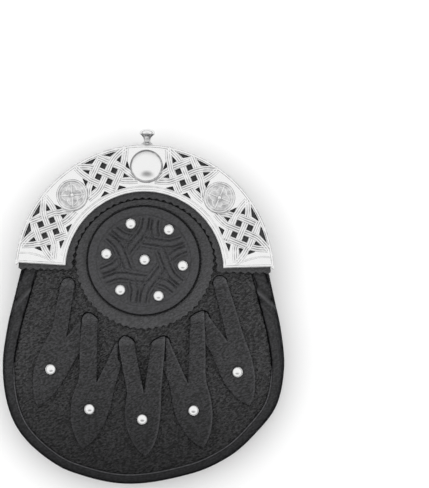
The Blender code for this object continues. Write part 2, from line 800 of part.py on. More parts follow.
def make_cantle_backing():
    """Leather under the cantle, with a pinked edge that shows below its feet and inside its arch."""
    inner_start = math.asin((BACKING_FOOT - CANTLE_INNER_CENTRE) / BACKING_INNER_RADIUS)
    outer_start = math.asin((BACKING_FOOT - CANTLE_OUTER_CENTRE) / BACKING_OUTER_RADIUS)
    outer = arc(CANTLE_OUTER_CENTRE, BACKING_OUTER_RADIUS, outer_start, math.pi - outer_start, 33)
    down = Vector((0.0, -1.0))
    inner_count = 2 * round(math.pi * BACKING_INNER_RADIUS / PINKING_PITCH) + 1
    inner = arc(CANTLE_INNER_CENTRE, BACKING_INNER_RADIUS, math.pi - inner_start, inner_start, inner_count)
    centre = Vector((0.0, CANTLE_INNER_CENTRE))
    teeth = []
    for index, point in enumerate(inner):
        reach = PINKING_DEPTH if index % 2 else 0.0
        teeth.append(point - (point - centre).normalized() * reach)
    left_foot = pinked(outer[-1], teeth[0], down)
    right_foot = pinked(teeth[-1], outer[0], down)
    outline = [*outer[:-1], *left_foot, *teeth[:-1], *right_foot]
    shape = plan(outline)
    piece = terrace("cantle_backing", shape, above_front(GAP), above_front(GAP + BACKING_THICKNESS))
    coat(piece, SMOOTH_LEATHER)


# Boss


def make_boss_patch():
    """Round pinked patch, trimmed at the top where the cantle's backing begins."""
    corner_count = 2 * round(2.0 * math.pi * BOSS_PATCH_RADIUS / PINKING_PITCH)
    offset = BOSS_CENTRE - Vector((0.0, CANTLE_INNER_CENTRE))
    trim_radius = BACKING_INNER_RADIUS - PINKING_DEPTH - 2.0 * GAP
    outline = []
    for step in range(corner_count):
        angle = 2.0 * math.pi * step / corner_count
        direction = Vector((math.cos(angle), math.sin(angle)))
        reach = BOSS_PATCH_RADIUS - (0.0 if step % 2 else PINKING_DEPTH)
        side = offset.dot(direction)
        trim = math.sqrt(side * side + trim_radius * trim_radius - offset.length_squared) - side
        outline.append(BOSS_CENTRE + direction * min(reach, trim))
    shape = plan(outline, spacing=24.0 * MM)
    piece = terrace("boss_patch", shape, above_front(GAP), above_front(GAP + BOSS_PATCH_THICKNESS))
    coat(piece, SOFT_LEATHER)


def star_bars():
    """Raised ribs of the six-pointed interlaced star: hexagon sides, then the two ribs of each point."""
    corners = circle(BOSS_CENTRE, BOSS_STAR_RADIUS, 6, BOSS_STUD_TURN + 30.0)
    knots = circle(BOSS_CENTRE, BOSS_STAR_RADIUS / math.sqrt(3.0), 6, BOSS_STUD_TURN)
    bars = []
    for index in range(6):
        knot = knots[index]
        after = knots[(index + 1) % 6]
        point = corners[index]
        for start, end, share in (
            (knot, after, BOSS_RIB_END),
            (knot, point, BOSS_POINT_RIB_END),
            (after, point, BOSS_POINT_RIB_END),
        ):
            bars.append(bar(start.lerp(end, BOSS_RIB_START), start.lerp(end, share), BOSS_RIB_HALF_WIDTH))
    return bars


def boss_foot():
    """Height of the boss disc's underside above the front wall."""
    return 2.0 * GAP + BOSS_PATCH_THICKNESS


def make_boss_disc():
    """Embossed disc: a raised ring round a field with a raised star."""
    outline = circle(BOSS_CENTRE, BOSS_RADIUS, 44)
    ring_line = circle(BOSS_CENTRE, BOSS_FIELD_RADIUS, 40)
    bars = star_bars()
    shape = plan(outline, creases=[ring_line, *bars])
    rises = []
    for triangle in shape[1]:
        place = middle(shape[0], triangle)
        on_ring = not holds(ring_line, place)
        on_rib = any(holds(loop, place) for loop in bars)
        rises.append(BOSS_RING_RISE if on_ring else BOSS_RIB_RISE if on_rib else 0.0)
    foot = boss_foot()
    piece = terrace("boss_disc", shape, above_front(foot), above_front(foot + BOSS_FIELD_THICKNESS), rises)
    coat(piece, SOFT_LEATHER)


def make_stud(name, place, lift):
    """Domed stud on a thin collar."""
    profile = [(0.0, STUD_HEIGHT)]
    for step in range(1, 4):
        angle = math.pi / 2.0 * step / 3.0
        height = STUD_COLLAR + (STUD_HEIGHT - STUD_COLLAR) * math.cos(angle)
        profile.append((STUD_RADIUS * 0.94 * math.sin(angle), height))
    profile.extend([(STUD_RADIUS, STUD_COLLAR * 0.6), (STUD_RADIUS, 0.0), (0.0, 0.0)])
    piece = turned(name, profile, 12)
    seat(piece, place, lift)
    coat(piece, POLISHED_METAL)


def make_boss_studs():
    """One stud in the middle of the boss and six round it, between the points of the star."""
    lift = boss_foot() + BOSS_FIELD_THICKNESS + GAP
    places = [BOSS_CENTRE, *circle(BOSS_CENTRE, BOSS_STUD_CIRCLE, 6, BOSS_STUD_TURN)]
    for index, place in enumerate(places, start=1):
        make_stud(f"boss_stud_{index}", place, lift)


# Leaves


def leg_rows(slit, way, edge, fork, outer_side):
    """Rows of one leg from its slit to the fork: outer point, inner point, lift above the front."""
    start, along, right = leg_frame(slit, edge, fork)
    length = ((edge + fork) / 2.0 - start).dot(along)
    outer = start + right * outer_side * LEG_HALF_WIDTH
    inner = start - right * outer_side * LEG_HALF_WIDTH
    chord = ARCH_LENGTH / length

    def row(distance, lift):
        share = (distance - ARCH_LENGTH) / (length - ARCH_LENGTH)
        base_outer = outer.lerp(outer + along * length, chord)
        base_inner = inner.lerp(inner + along * length, chord)
        return base_outer.lerp(edge, share), base_inner.lerp(fork, share), lift

    if way == "under":
        return [row(UNDER_LEG_START, GAP), row((UNDER_LEG_START + length) / 2.0, GAP)]
    rows = []
    for down in (0.05, 0.25, 0.6):
        width = math.sqrt(1.0 - (1.0 - down) ** 2)
        spot = start + along * ARCH_LENGTH * down
        side = right * outer_side * LEG_HALF_WIDTH * width
        rows.append((spot + side, spot - side, GAP - ARCH_DIP * (1.0 - down)))
    rows.append(row(ARCH_LENGTH, GAP))
    if way == "alone":
        rows.append(row(length * 0.55, GAP))
        return rows
    high = 2.0 * GAP + LEAF_THICKNESS
    rows.append(row(OVER_LEG_RISE, high))
    rows.append(row(min(OVER_LEG_HOLD, length * 0.8), high))
    if length > OVER_LEG_END:
        rows.append(row(OVER_LEG_END, GAP))
    return rows


def make_leaf(name, leaf):
    """Leaf with two legs that join at the fork and run to a pointed tip."""
    left_edge, fork, right_edge = fork_points(leaf)
    stud = Vector(leaf.stud) * MM
    tip = Vector(leaf.tip) * MM
    corners = []
    lifts = []
    triangles = []

    def add(point, lift):
        corners.append(point)
        lifts.append(lift)
        return len(corners) - 1

    def strip(first, second):
        for (left, right), (left_below, right_below) in zip(zip(first, first[1:]), zip(second, second[1:])):
            triangles.append((left, left_below, right))
            triangles.append((right, left_below, right_below))

    fork_row = [add(left_edge, GAP), add(fork, GAP), add(right_edge, GAP)]
    left_rows = [
        [add(outer, lift), add(inner, lift)]
        for outer, inner, lift in leg_rows(leaf.left_slit, leaf.left_way, left_edge, fork, -1.0)
    ]
    right_rows = [
        [add(inner, lift), add(outer, lift)]
        for outer, inner, lift in leg_rows(leaf.right_slit, leaf.right_way, right_edge, fork, 1.0)
    ]
    left_rows.append(fork_row[:2])
    right_rows.append(fork_row[1:])
    body_rows = [fork_row]
    stud_share = (stud - fork).length / ((stud - fork).length + (tip - stud).length)
    along = (tip - fork).normalized()
    for share, width in LEAF_TAPER:
        if share < stud_share:
            spot = fork.lerp(stud, share / stud_share)
        else:
            spot = stud.lerp(tip, (share - stud_share) / (1.0 - stud_share))
        side = Vector((-along.y, along.x)) * leaf.half_width * MM * width
        body_rows.append([add(spot - side, GAP), add(spot, GAP), add(spot + side, GAP)])
    for rows in (left_rows, right_rows, body_rows):
        for first, second in zip(rows, rows[1:]):
            strip(first, second)
    point = add(tip, GAP)
    triangles.append((body_rows[-1][0], point, body_rows[-1][1]))
    triangles.append((body_rows[-1][1], point, body_rows[-1][2]))
    heights = {tuple(corner): front_z(*corner) + lift for corner, lift in zip(corners, lifts)}
    piece = terrace(
        name, (corners, triangles),
        lambda x, y: heights[x, y],
        lambda x, y: heights[x, y] + LEAF_THICKNESS,
    )
    coat(piece, SOFT_LEATHER)


def make_leaves():
    """Five leaves, each with its stud."""
    for index, leaf in enumerate(LEAVES, start=1):
        make_leaf(f"leather_leaf_{index}", leaf)
        make_stud(f"leaf_stud_{index}", Vector(leaf.stud) * MM, 2.0 * GAP + LEAF_THICKNESS)


# Back


def make_closure_strap():
    """Strap from inside the front, over the mouth and down the back to a pointed tip."""
    path = [Vector((y, z)) * MM for y, z, _ in STRAP_ROWS]
    sections = []
    for index, place in enumerate(path):
        before = path[max(index - 1, 0)]
        after = path[min(index + 1, len(path) - 1)]
        entering = (place - before).normalized() if index else (after - place).normalized()
        leaving = (after - place).normalized() if index < len(path) - 1 else entering
        along = (entering + leaving).normalized()
        stretch = 1.0 / max(0.5, along.dot(entering))
        side = Vector((-along.y, along.x)) * STRAP_THICKNESS / 2.0 * stretch
        half_width = STRAP_ROWS[index][2] * MM
        first = place + side
        second = place - side
        sections.append([
            (-half_width, first.x, first.y),
            (half_width, first.x, first.y),
            (half_width, second.x, second.y),
            (-half_width, second.x, second.y),
        ])
    coat(lofted("closure_strap", sections), SMOOTH_LEATHER)


def make_snap_cap():
    """Cap of the press stud, under the strap."""
    profile = [
        (0.0, SNAP_HEIGHT),
        (SNAP_RADIUS * 0.93, SNAP_HEIGHT),
        (SNAP_RADIUS, SNAP_HEIGHT - SNAP_EDGE / 2.0),
    ]
    for step in range(1, 5):
        angle = math.pi / 2.0 * step / 4.0
        radius = SNAP_FACE_RADIUS + (SNAP_RADIUS - SNAP_FACE_RADIUS) * math.cos(angle)
        profile.append((radius, (SNAP_HEIGHT - SNAP_EDGE) * (1.0 - math.sin(angle))))
    profile.append((0.0, 0.0))
    piece = turned("snap_cap", profile, 16)
    piece.location = (SNAP_CENTRE.x, SNAP_CENTRE.y, 0.0)
    coat(piece, DARK_METAL)


def make_back_patch():
    """Home-plate patch that follows the curve of the back."""
    right = [Vector((half_width * MM, height * MM)) for height, half_width in PATCH_ROWS]
    left = [Vector((-point.x, point.y)) for point in right]
    outline = [*left, *reversed(right)]
    shape = plan(outline, spacing=12.0 * MM)
    piece = terrace("back_patch", shape, below_back(GAP + PATCH_THICKNESS), below_back(GAP))
    coat(piece, GRAINED_LEATHER)


def make_ring_loop(name, side):
    """Folded leather loop round a D-ring's bar, with its tail against the patch."""
    inner_radius = RING_WIRE_RADIUS + GAP
    outer_radius = inner_radius + LOOP_WALL
    centre = Vector((0.0, 0.0))
    top = BACK_LIFT - GAP - RING_HINGE_Z
    reach = RING_HINGE_X - LOOP_TAIL_END
    tail_start = math.radians(80.0)
    tail_end = math.radians(-25.0)
    outline = []
    for step in range(11):
        angle = tail_start + (2.0 * math.pi + tail_end - tail_start) * step / 10.0
        outline.append(Vector((math.cos(angle), math.sin(angle))) * outer_radius)
    outline.extend([Vector((reach, top - 2.0 * LOOP_WALL)), Vector((reach, top))])
    hole = circle(centre, inner_radius, 12)
    shape = plan(outline, holes=[hole])
    piece = terrace(name, shape, lambda x, y: -LOOP_HALF_LENGTH, lambda x, y: LOOP_HALF_LENGTH)
    piece.location = (side * RING_HINGE_X, RING_HINGE_HEIGHT, RING_HINGE_Z)
    turn = 0.0 if side < 0.0 else math.pi
    piece.rotation_euler = (math.radians(90.0), 0.0, turn)
    coat(piece, SMOOTH_LEATHER)


def ring_path():
    """Middle line of a D-ring that points to -X from its bar on the Y axis."""
    half = RING_HALF_HEIGHT
    corner = RING_CORNER
    path = []
    for step in range(3):
        angle = math.pi / 4.0 * step
        path.append(Vector((-corner + corner * math.cos(angle), half - corner + corner * math.sin(angle))))
    for step in range(1, 9):
        angle = math.pi / 9.0 * step
        path.append(Vector((-corner - (RING_DEPTH - corner) * math.sin(angle), half * math.cos(angle))))
    lower = [Vector((point.x, -point.y)) for point in reversed(path[:3])]
    return [*path, *lower]


def make_d_ring(name, side):
    """D-ring of round wire, hinged on its straight bar and resting on its bow."""
    path = ring_path()
    normals = inward(path)
    sections = []
    for point, normal in zip(path, normals):
        section = []
        for step in range(8):
            angle = math.pi / 4.0 * (step + 0.5)
            spot = point + normal * math.cos(angle) * RING_WIRE_RADIUS
            section.append((spot.x, spot.y, math.sin(angle) * RING_WIRE_RADIUS))
        sections.append(section)
    piece = lofted(name, sections, closed=True)
    fall = math.asin((RING_HINGE_Z - RING_WIRE_RADIUS) / RING_DEPTH)
    turn = 0.0 if side < 0.0 else math.pi
    piece.location = (side * RING_HINGE_X, RING_HINGE_HEIGHT, RING_HINGE_Z)
    piece.rotation_euler = (0.0, -fall, turn)
    coat(piece, DARK_METAL)


def main():
    for old in list(bpy.data.objects):
        bpy.data.objects.remove(old, do_unlink=True)
    make_back_panel()
    make_gusset()
    make_front_panel()
    make_closure_strap()
    make_snap_cap()
    make_back_patch()
    for side_name, side in (("left", -1.0), ("right", 1.0)):
        make_ring_loop(f"ring_loop_{side_name}", side)
        make_d_ring(f"d_ring_{side_name}", side)
    make_cantle_backing()
    make_cantle()
    make_dome()
    make_medallion("medallion_right", MEDALLION_ANGLES[0])
    make_medallion("medallion_left", MEDALLION_ANGLES[1])
    make_finial()
    make_boss_patch()
    make_boss_disc()
    make_boss_studs()
    make_leaves()


main()
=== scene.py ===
"""Black leather sporran pouch with a pierced metal cantle, lying on its back on a pale floor.

Sizes are in metres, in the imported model's own frame: X across the pouch, +Y towards its finial
and +Z out of its front. Left and right are as seen from the front.
"""
import math
from collections import namedtuple

import bmesh
import bpy
from mathutils import Matrix, Vector
from mathutils.geometry import delaunay_2d_cdt, interpolate_bezier
from mathutils.kdtree import KDTree


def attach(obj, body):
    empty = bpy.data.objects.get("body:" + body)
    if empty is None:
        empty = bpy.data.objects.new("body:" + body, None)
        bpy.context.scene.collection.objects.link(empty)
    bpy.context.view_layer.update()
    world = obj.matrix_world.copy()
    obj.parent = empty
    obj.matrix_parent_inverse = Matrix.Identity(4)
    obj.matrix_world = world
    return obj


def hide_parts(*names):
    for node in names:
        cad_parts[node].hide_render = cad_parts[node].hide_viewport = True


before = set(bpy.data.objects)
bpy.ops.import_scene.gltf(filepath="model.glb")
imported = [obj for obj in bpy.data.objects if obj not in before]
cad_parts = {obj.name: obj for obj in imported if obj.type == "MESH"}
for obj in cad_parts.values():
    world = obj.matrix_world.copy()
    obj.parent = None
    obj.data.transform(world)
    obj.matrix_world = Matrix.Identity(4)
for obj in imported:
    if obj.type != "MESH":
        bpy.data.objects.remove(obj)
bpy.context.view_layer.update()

bl_info = {
    "name": "Sporran Pouch",
    "version": (1, 0, 0),
    "blender": (4, 5, 0),
    "location": "View3D > Sidebar > Sporran",
    "description": "Builds a black leather sporran pouch with a pierced metal cantle",
    "category": "Add Mesh",
}

MM = 0.001
GAP = 0.3 * MM  # between pieces that touch
CHROME = "chromed cast alloy"
THREAD = "waxed black thread"
WALL_SPACING = 1.7 * MM  # of the points on a wall

# Body outline: height, left half width, right half width (mm)
CROWN_HEIGHT = 99.6 * MM
BOTTOM_POINT = Vector((-9.0 * MM, -113.7 * MM))
BODY_SIDES = (
    (89.1, 39.3, 39.3),
    (60.4, 68.0, 68.0),
    (27.0, 78.2, 78.2),
    (6.0, 83.2, 83.3),
    (-14.0, 87.6, 87.9),
    (-38.0, 90.3, 90.3),
    (-62.0, 87.4, 85.8),
    (-80.0, 79.7, 72.8),
    (-95.0, 65.3, 56.3),
    (-106.5, 45.5, 32.0),
)
FRONT_PEAK = 27.0 * MM
FRONT_PEAK_HEIGHT = -25.0 * MM
FRONT_CROSS_RADIUS = 1067.0 * MM
FRONT_LONG_RADIUS = 880.0 * MM
BACK_LIFT = 5.3 * MM
BACK_LIFT_FROM = -72.0 * MM
BACK_LIFT_TO = 10.0 * MM
FRONT_WALL = 2.0 * MM
BACK_WALL = 2.0 * MM
GUSSET_WALL = 1.8 * MM
BACK_INSET = 2.6 * MM
BAND_WIDTHS = ((-113.7, 6.8), (-38.0, 8.2), (23.0, 10.6), (48.0, 10.6), (62.0, 4.0), (99.6, 4.0))
BAND_CROWN = 0.9 * MM
BAND_TUCK = 1.9 * MM
BAND_TUCK_FROM = 12.0 * MM
BAND_TUCK_TO = 21.0 * MM
# Folds across the band: side, height at the seam, height at the outline, half width (mm), depth (mm)
BAND_FOLDS = (
    (-1.0, 15.0, 1.0, 3.4, 0.9),
    (-1.0, 11.0, -9.0, 2.2, -0.5),
    (-1.0, -4.0, -20.0, 4.0, 0.4),
    (1.0, 17.5, 3.5, 3.0, 1.2),
    (1.0, 12.0, -2.0, 1.8, -0.7),
    (1.0, 7.0, -8.0, 2.0, 0.6),
    (1.0, 1.0, -14.0, 4.0, 0.4),
)
MOUTH_HEIGHT = 46.0 * MM
BEAD_TOP = -36.0 * MM
# Seam and raised edge of the field of the back wall, in mm from its edge
BACK_SEAM = 5.6
BACK_LIP = 7.8
STITCH_LEAN = math.radians(24.0)  # of the stitches of the back seam

CANTLE_OUTER_RADIUS = 82.5 * MM
CANTLE_OUTER_CENTRE = 21.1 * MM
CANTLE_INNER_RADIUS = 50.2 * MM
CANTLE_INNER_CENTRE = 23.3 * MM
CANTLE_FOOT_OUTER = 27.05 * MM
CANTLE_FOOT_INNER = 25.75 * MM
CANTLE_TIP = 1.8 * MM
CANTLE_PLATE = 1.6 * MM
CANTLE_FLANGE = 3.4 * MM
CANTLE_MID_RADIUS = 67.3 * MM
CANTLE_MID_CENTRE = 22.2 * MM
PANEL_ANGLES = (23.8, 67.8, 112.2, 156.2)
PANEL_FIRST_TURN = 23.8
PANEL_TURN_STEP = 44.13
MEDALLION_ANGLES = (45.9, 134.1)
MEDALLION_TURNS = (-22.0, 6.5)
BACKING_THICKNESS = 1.9 * MM
BACKING_OUTER_RADIUS = 80.3 * MM
BACKING_INNER_RADIUS = 46.6 * MM
BACKING_FOOT = 23.6 * MM
DOME_CENTRE = Vector((0.0, 89.8 * MM))
DOME_RADIUS = 10.5 * MM
DOME_HEIGHT = 5.4 * MM
DOME_COLLAR_WIDTH = 0.3 * MM
DOME_COLLAR_HEIGHT = 1.9 * MM
MEDALLION_RADIUS = 10.1 * MM
MEDALLION_THICKNESS = 1.8 * MM
# Knob on the middle of a medallion, in mm: radius, height
MEDALLION_KNOB = ((0.0, 1.3), (0.7, 1.2), (1.3, 0.8), (1.6, 0.0), (0.0, 0.0))
FINIAL_FOOT = 103.95 * MM
FINIAL_LENGTH = 9.75 * MM
# Share of the finial's length and its radius there (mm), from the cap's top to the foot
FINIAL_ROWS = (
    (1.0, 0.0), (0.99, 1.5), (0.96, 3.0), (0.91, 4.0), (0.85, 4.6), (0.78, 4.9),
    (0.7, 4.88), (0.64, 4.6), (0.59, 4.1), (0.54, 3.4), (0.47, 2.8), (0.36, 2.3),
    (0.24, 2.1), (0.15, 2.35), (0.08, 2.95), (0.03, 3.5), (0.0, 3.55), (0.0, 0.0),
)

BOSS_CENTRE = Vector((0.0, 30.2 * MM))
BOSS_PATCH_RADIUS = 44.5 * MM
BOSS_PATCH_THICKNESS = 1.4 * MM
BOSS_RADIUS = 35.4 * MM
BOSS_SQUASH = 0.965  # height of the soft boss as a share of its width
BOSS_SHIFT = Vector((-0.6 * MM, -0.5 * MM))
BOSS_FIELD_RADIUS = 30.2 * MM
BOSS_FIELD_THICKNESS = 1.8 * MM
BOSS_STUD_CIRCLE = 24.5 * MM
BOSS_STUD_TURN = -7.8
STUD_RADIUS = 3.55 * MM
# Half of a strap of the boss's star in mm: out from the middle, and along the strap
STAR_STRAP_HALF = ((12.0, 0.0), (12.0, 5.5), (12.05, 10.5), (12.8, 15.6), (15.4, 20.5), (18.2, 25.2))
TOOTH_STEPS = 12  # points on a pinked tooth of the patch

LEAF_THICKNESS = 1.6 * MM
ARCH_LENGTH = 5.0 * MM
ARCH_DIP = 2.2 * MM
OVER_LEG_RISE = 14.0 * MM
OVER_LEG_HOLD = 29.0 * MM
OVER_LEG_FLAT = 58.0 * MM
SINGLE_LEG_HALF_WIDTH = 4.5 * MM
SLIT_SPACING = 1.2 * MM  # of the points round a slit
# A paired slit and the heads of the two legs in it, in mm from the slit: outwards and up
PAIR_SLIT = (
    (6.0, -5.3), (6.6, -4.4), (6.7, -2.9), (6.1, -1.2), (4.6, 0.1), (2.1, 0.7), (-0.7, -0.3), (-3.6, -2.0),
    (-5.6, -3.8), (-5.7, -5.3),
)
# The same for the slits of the left half, where the over leg covers the other one
LEFT_SLIT = (
    (5.5, -5.3), (5.5, -4.0), (5.0, -2.3), (3.6, -0.4), (1.7, 0.6), (-0.8, 0.1), (-3.3, -1.5), (-5.3, -3.4),
    (-5.5, -5.3),
)
LEFT_OVER_HEAD = (
    (-5.2, -5.2), (-5.0, -3.8), (-3.1, -1.9), (-0.7, -0.4), (1.6, 0.1), (3.3, -0.9), (4.6, -2.6), (5.1, -4.0),
    (5.1, -5.2),
)
LEFT_UNDER_HEAD = ((7.9, -6.4), (7.2, -5.1), (6.2, -4.5), (5.5, -5.2), (5.4, -15.0), (3.0, -17.0))
OVER_HEAD = (
    (-5.4, -5.2), (-5.3, -4.1), (-3.5, -2.5), (-0.7, -0.9), (1.6, 0.1), (2.9, 0.1), (3.4, -0.7), (3.5, -1.8),
)
UNDER_HEAD = (
    (6.2, -3.2), (6.1, -2.2), (5.3, -1.1), (4.4, -0.5), (3.9, -0.7), (3.8, -1.6), (3.8, -15.0), (1.6, -17.0),
)
SLITS = {
    "a": (-47.8, 17.8),
    "b": (-34.1, -4.2),
    "c": (-10.4, -18.4),
    "d": (10.6, -18.3),
    "e": (35.1, -1.7),
    "f": (46.8, 20.7),
}
Leaf = namedtuple("Leaf", "left_slit left_way right_slit right_way fork stud tip half_width slack")
LEAVES = (
    Leaf("a", "alone", "b", "under", (-48.6, -19.3), (-58.5, -40.4), (-66.8, -64.3), 11.3, 1.0),
    Leaf("b", "over", "c", "under", (-28.9, -47.8), (-33.4, -65.2), (-37.5, -90.7), 12.6, 0.0),
    Leaf("c", "over", "d", "over", (1.1, -53.9), (0.2, -71.1), (2.4, -95.0), 11.5, 0.0),
    Leaf("d", "under", "e", "over", (28.9, -47.6), (32.7, -64.9), (39.0, -88.8), 12.4, 0.0),
    Leaf("e", "under", "f", "alone", (53.5, -20.5), (60.2, -40.1), (68.3, -61.7), 11.5, 1.0),
)
LEAF_FORK_WIDTH = 0.95
# Where the edge of a slack leg swings out: share of its reach, and mm down the leaf
LEAF_SLACK_WIDTH = 0.15
LEAF_SLACK_DROP = 2.5
LEAF_TAPER = ((0.28, 1.0), (0.55, 0.9), (0.78, 0.62), (0.92, 0.3))
Leg = namedtuple("Leg", "start along right way side edge")

# Closure strap: height, Z of its middle, half width (mm), from inside the front to its tip
STRAP_THICKNESS = 1.8 * MM
STRAP_ROWS = (
    (82.0, 17.2, 13.5),
    (93.0, 15.75, 13.8),
    (97.9, 13.9, 13.9),
    (99.9, 10.2, 14.0),
    (99.9, 6.2, 14.0),
    (98.3, 4.1, 14.0),
    (77.0, 4.1, 14.5),
    (68.5, 4.1, 15.2),
    (63.0, 2.2, 15.4),
    (57.0, 2.2, 15.1),
    (51.0, 2.2, 13.4),
    (46.0, 2.2, 10.9),
    (42.0, 2.2, 7.9),
    (39.0, 2.2, 4.8),
    (37.2, 2.2, 2.2),
    (36.5, 2.2, 0.5),
)
SNAP_CENTRE = Vector((0.0, 77.6 * MM))
SNAP_RADIUS = 7.65 * MM
SNAP_HEIGHT = 2.9 * MM
# Under the cap's edge: share of its radius, and how far down its height
SNAP_ROWS = ((0.995, 0.35), (0.97, 0.55), (0.93, 0.7), (0.89, 0.76), (0.87, 0.7), (0.84, 0.72))
PATCH_THICKNESS = 1.6 * MM
PATCH_ROWS = ((60.7, 24.6), (42.0, 22.7), (25.0, 23.2), (12.0, 25.6), (6.2, 27.6), (-28.4, 1.0))
RING_HINGE_X = 27.5 * MM
RING_HINGE_HEIGHT = 35.0 * MM
RING_HINGE_Z = 2.55 * MM
RING_WIRE_RADIUS = 1.15 * MM
RING_HALF_HEIGHT = 10.05 * MM
RING_DEPTH = 12.2 * MM
RING_CORNER = 2.2 * MM
LOOP_WALL = 1.0 * MM
LOOP_HALF_LENGTH = 8.1 * MM
LOOP_TAIL_END = 23.6 * MM

# Layers, as heights above the front wall
PLATE_FOOT = 2.0 * GAP + BACKING_THICKNESS
PLATE_TOP = PLATE_FOOT + CANTLE_PLATE
BOSS_FOOT = 2.0 * GAP + BOSS_PATCH_THICKNESS
LEAF_HIGH = 2.0 * GAP + LEAF_THICKNESS
LEAF_STUD_FOOT = 2.0 * GAP + LEAF_THICKNESS
BOSS_STUD_FOOT = BOSS_FOOT + BOSS_FIELD_THICKNESS + GAP

# How far the rims and the plait reach down into the plate, so that no light shows under them
RIM_BURIED = 0.3 * MM
PLAIT_BURIED = 0.85 * MM
RIM_GROOVE = 0.12 * MM
# Line across a foot of the arch, in mm from its panel's middle: out, and along the arch
FOOT_LINE = ((-14.0, -18.0), (-5.8, -17.6), (0.7, -18.3), (6.0, -19.8), (10.0, -21.7))
PLAIT_WEAVE = 0.26  # mm that a band rises or sinks at a crossing
# One panel's plait in mm: out from the panel's middle, along the arch, and how the band lies there.
# 1 crosses over, -1 passes under, 0 lies level.
PLAIT_BANDS = (
    ((11.9, 1.1, 0), (10.8, 0.0, 1), (5.4, -5.4, -1), (0.0, -10.8, 1), (-2.0, -11.8, 0), (-5.1, -14.1, 0),
     (-10.4, -16.9, 0)),
    ((11.0, 17.2, 0), (9.8, 13.4, 0), (7.9, 8.9, 0), (5.4, 5.4, -1), (0.0, 0.0, 1), (-5.4, -5.4, -1),
     (-7.9, -8.2, 0), (-9.8, -12.4, 0), (-11.2, -16.8, 0)),
    ((10.6, 16.9, 0), (5.3, 14.3, 0), (1.9, 11.9, 0), (0.0, 10.8, 1), (-5.4, 5.4, -1), (-10.8, 0.0, 1),
     (-11.9, -1.1, 0)),
)

# Holes of one panel in mm, out from its middle and along the arch; all but the first are mirrored along it
SQUARE_HOLES = ((5.4, 0.0), (-5.4, 0.0), (0.0, 5.4), (0.0, -5.4))
SQUARE_HOLE_HALF_DIAGONAL = 2.45
EDGE_HOLES = (
    ((12.2, 1.7), (12.7, 4.6), (12.75, 7.7), (12.5, 10.6), (11.8, 13.4), (10.5, 9.4), (9.2, 6.2)),
    ((7.6, 13.2), (5.7, 9.1), (3.5, 10.8)),
    ((2.8, 15.3), (-0.3, 12.8), (-2.6, 15.1)),
    ((-3.7, 10.6), (-6.0, 9.0), (-7.3, 13.0)),
    ((-10.0, 5.0), (-12.6, 2.5), (-12.7, 8.7)),
)

FLOOR_HALF_SIZE = 2.5
SKY_STRENGTH = 1.15
# Lamps that face the origin: place, side (m), power (W)
LAMPS = (
    ("left lamp", (-0.95, 0.35, 0.75), 1.15, 2.8),
    ("right lamp", (0.95, 0.35, 0.75), 1.15, 2.8),
    ("top lamp", (0.0, 1.05, 0.85), 1.2, 3.0),
)
CAMERA_POINT = (44.19 * MM, 40.98 * MM)
CAMERA_TURN = 1.0
CAMERA_LENS = 150.0
CAMERA_SENSOR = 36.0
FRAME_HEIGHT = 309.9 * MM


# Heights, outlines and curves


def blend(value, start, end):
    """Smooth step from 0 at start to 1 at end."""
    share = min(1.0, max(0.0, (value - start) / (end - start)))
    return share * share * (3.0 - 2.0 * share)


def heading(angle):
    """Flat unit vector at an angle in radians."""
    return Vector((math.cos(angle), math.sin(angle)))


def left_of(along):
    """Flat vector turned a quarter to its left."""
    return Vector((-along.y, along.x))


def front_z(x, y):
    """Outer surface of the front wall."""
    rise = y - FRONT_PEAK_HEIGHT
    return FRONT_PEAK - x * x / (2.0 * FRONT_CROSS_RADIUS) - rise * rise / (2.0 * FRONT_LONG_RADIUS)


def back_z(x, y):
    """Outer surface of the back wall."""
    return BACK_LIFT * blend(y, BACK_LIFT_FROM, BACK_LIFT_TO)


def band_width(y):
    """Width of the rolled band at this height."""
    rows = [(height * MM, width * MM) for height, width in BAND_WIDTHS]
    for (low, start), (high, end) in zip(rows, rows[1:]):
        if y <= high:
            return start + (end - start) * max(0.0, (y - low) / (high - low))
    return rows[-1][1]


def smooth_curve(points, steps, closed=False):
    """Smooth curve through the points."""
    count = len(points)
    last = count - 1
    slopes = []
    for index, point in enumerate(points):
        before = points[index - 1] if closed else points[max(index - 1, 0)]
        after = points[(index + 1) % count] if closed else points[min(index + 1, last)]
        slopes.append((after - before) / ((point - before).length + (after - point).length))
    curve = []
    for index in range(count if closed else last):
        start = points[index]
        end = points[(index + 1) % count]
        reach = (end - start).length / 3.0
        handle_out = start + slopes[index] * reach
        handle_in = end - slopes[(index + 1) % count] * reach
        curve.extend(interpolate_bezier(start, handle_out, handle_in, end, steps + 1)[:-1])
    if not closed:
        curve.append(points[-1])
    return curve


def evenly(loop, count):
    """Closed loop resampled to equal steps."""
    closed = [*loop, loop[0]]
    lengths = [0.0]
    for start, end in zip(closed, closed[1:]):
        lengths.append(lengths[-1] + (end - start).length)
    picked = []
    span = 0
    for index in range(count):
        target = lengths[-1] * index / count
        while lengths[span + 1] < target:
            span += 1
        share = (target - lengths[span]) / (lengths[span + 1] - lengths[span])
        picked.append(closed[span].lerp(closed[span + 1], share))
    return picked


def divided(loop, spacing, closed=True):
    """The same outline with its corners kept and its long sides divided."""
    ends = [*loop[1:], loop[0]] if closed else loop[1:]
    points = []
    for start, end in zip(loop, ends):
        count = max(1, math.ceil((end - start).length / spacing))
        points.extend(start.lerp(end, step / count) for step in range(count))
    if not closed:
        points.append(loop[-1])
    return points


def inward(loop):
    """Unit normals that point into a counter-clockwise loop."""
    ends = [*loop[1:], loop[0]]
    return [left_of((end - loop[index - 1]).normalized()) for index, end in enumerate(ends)]


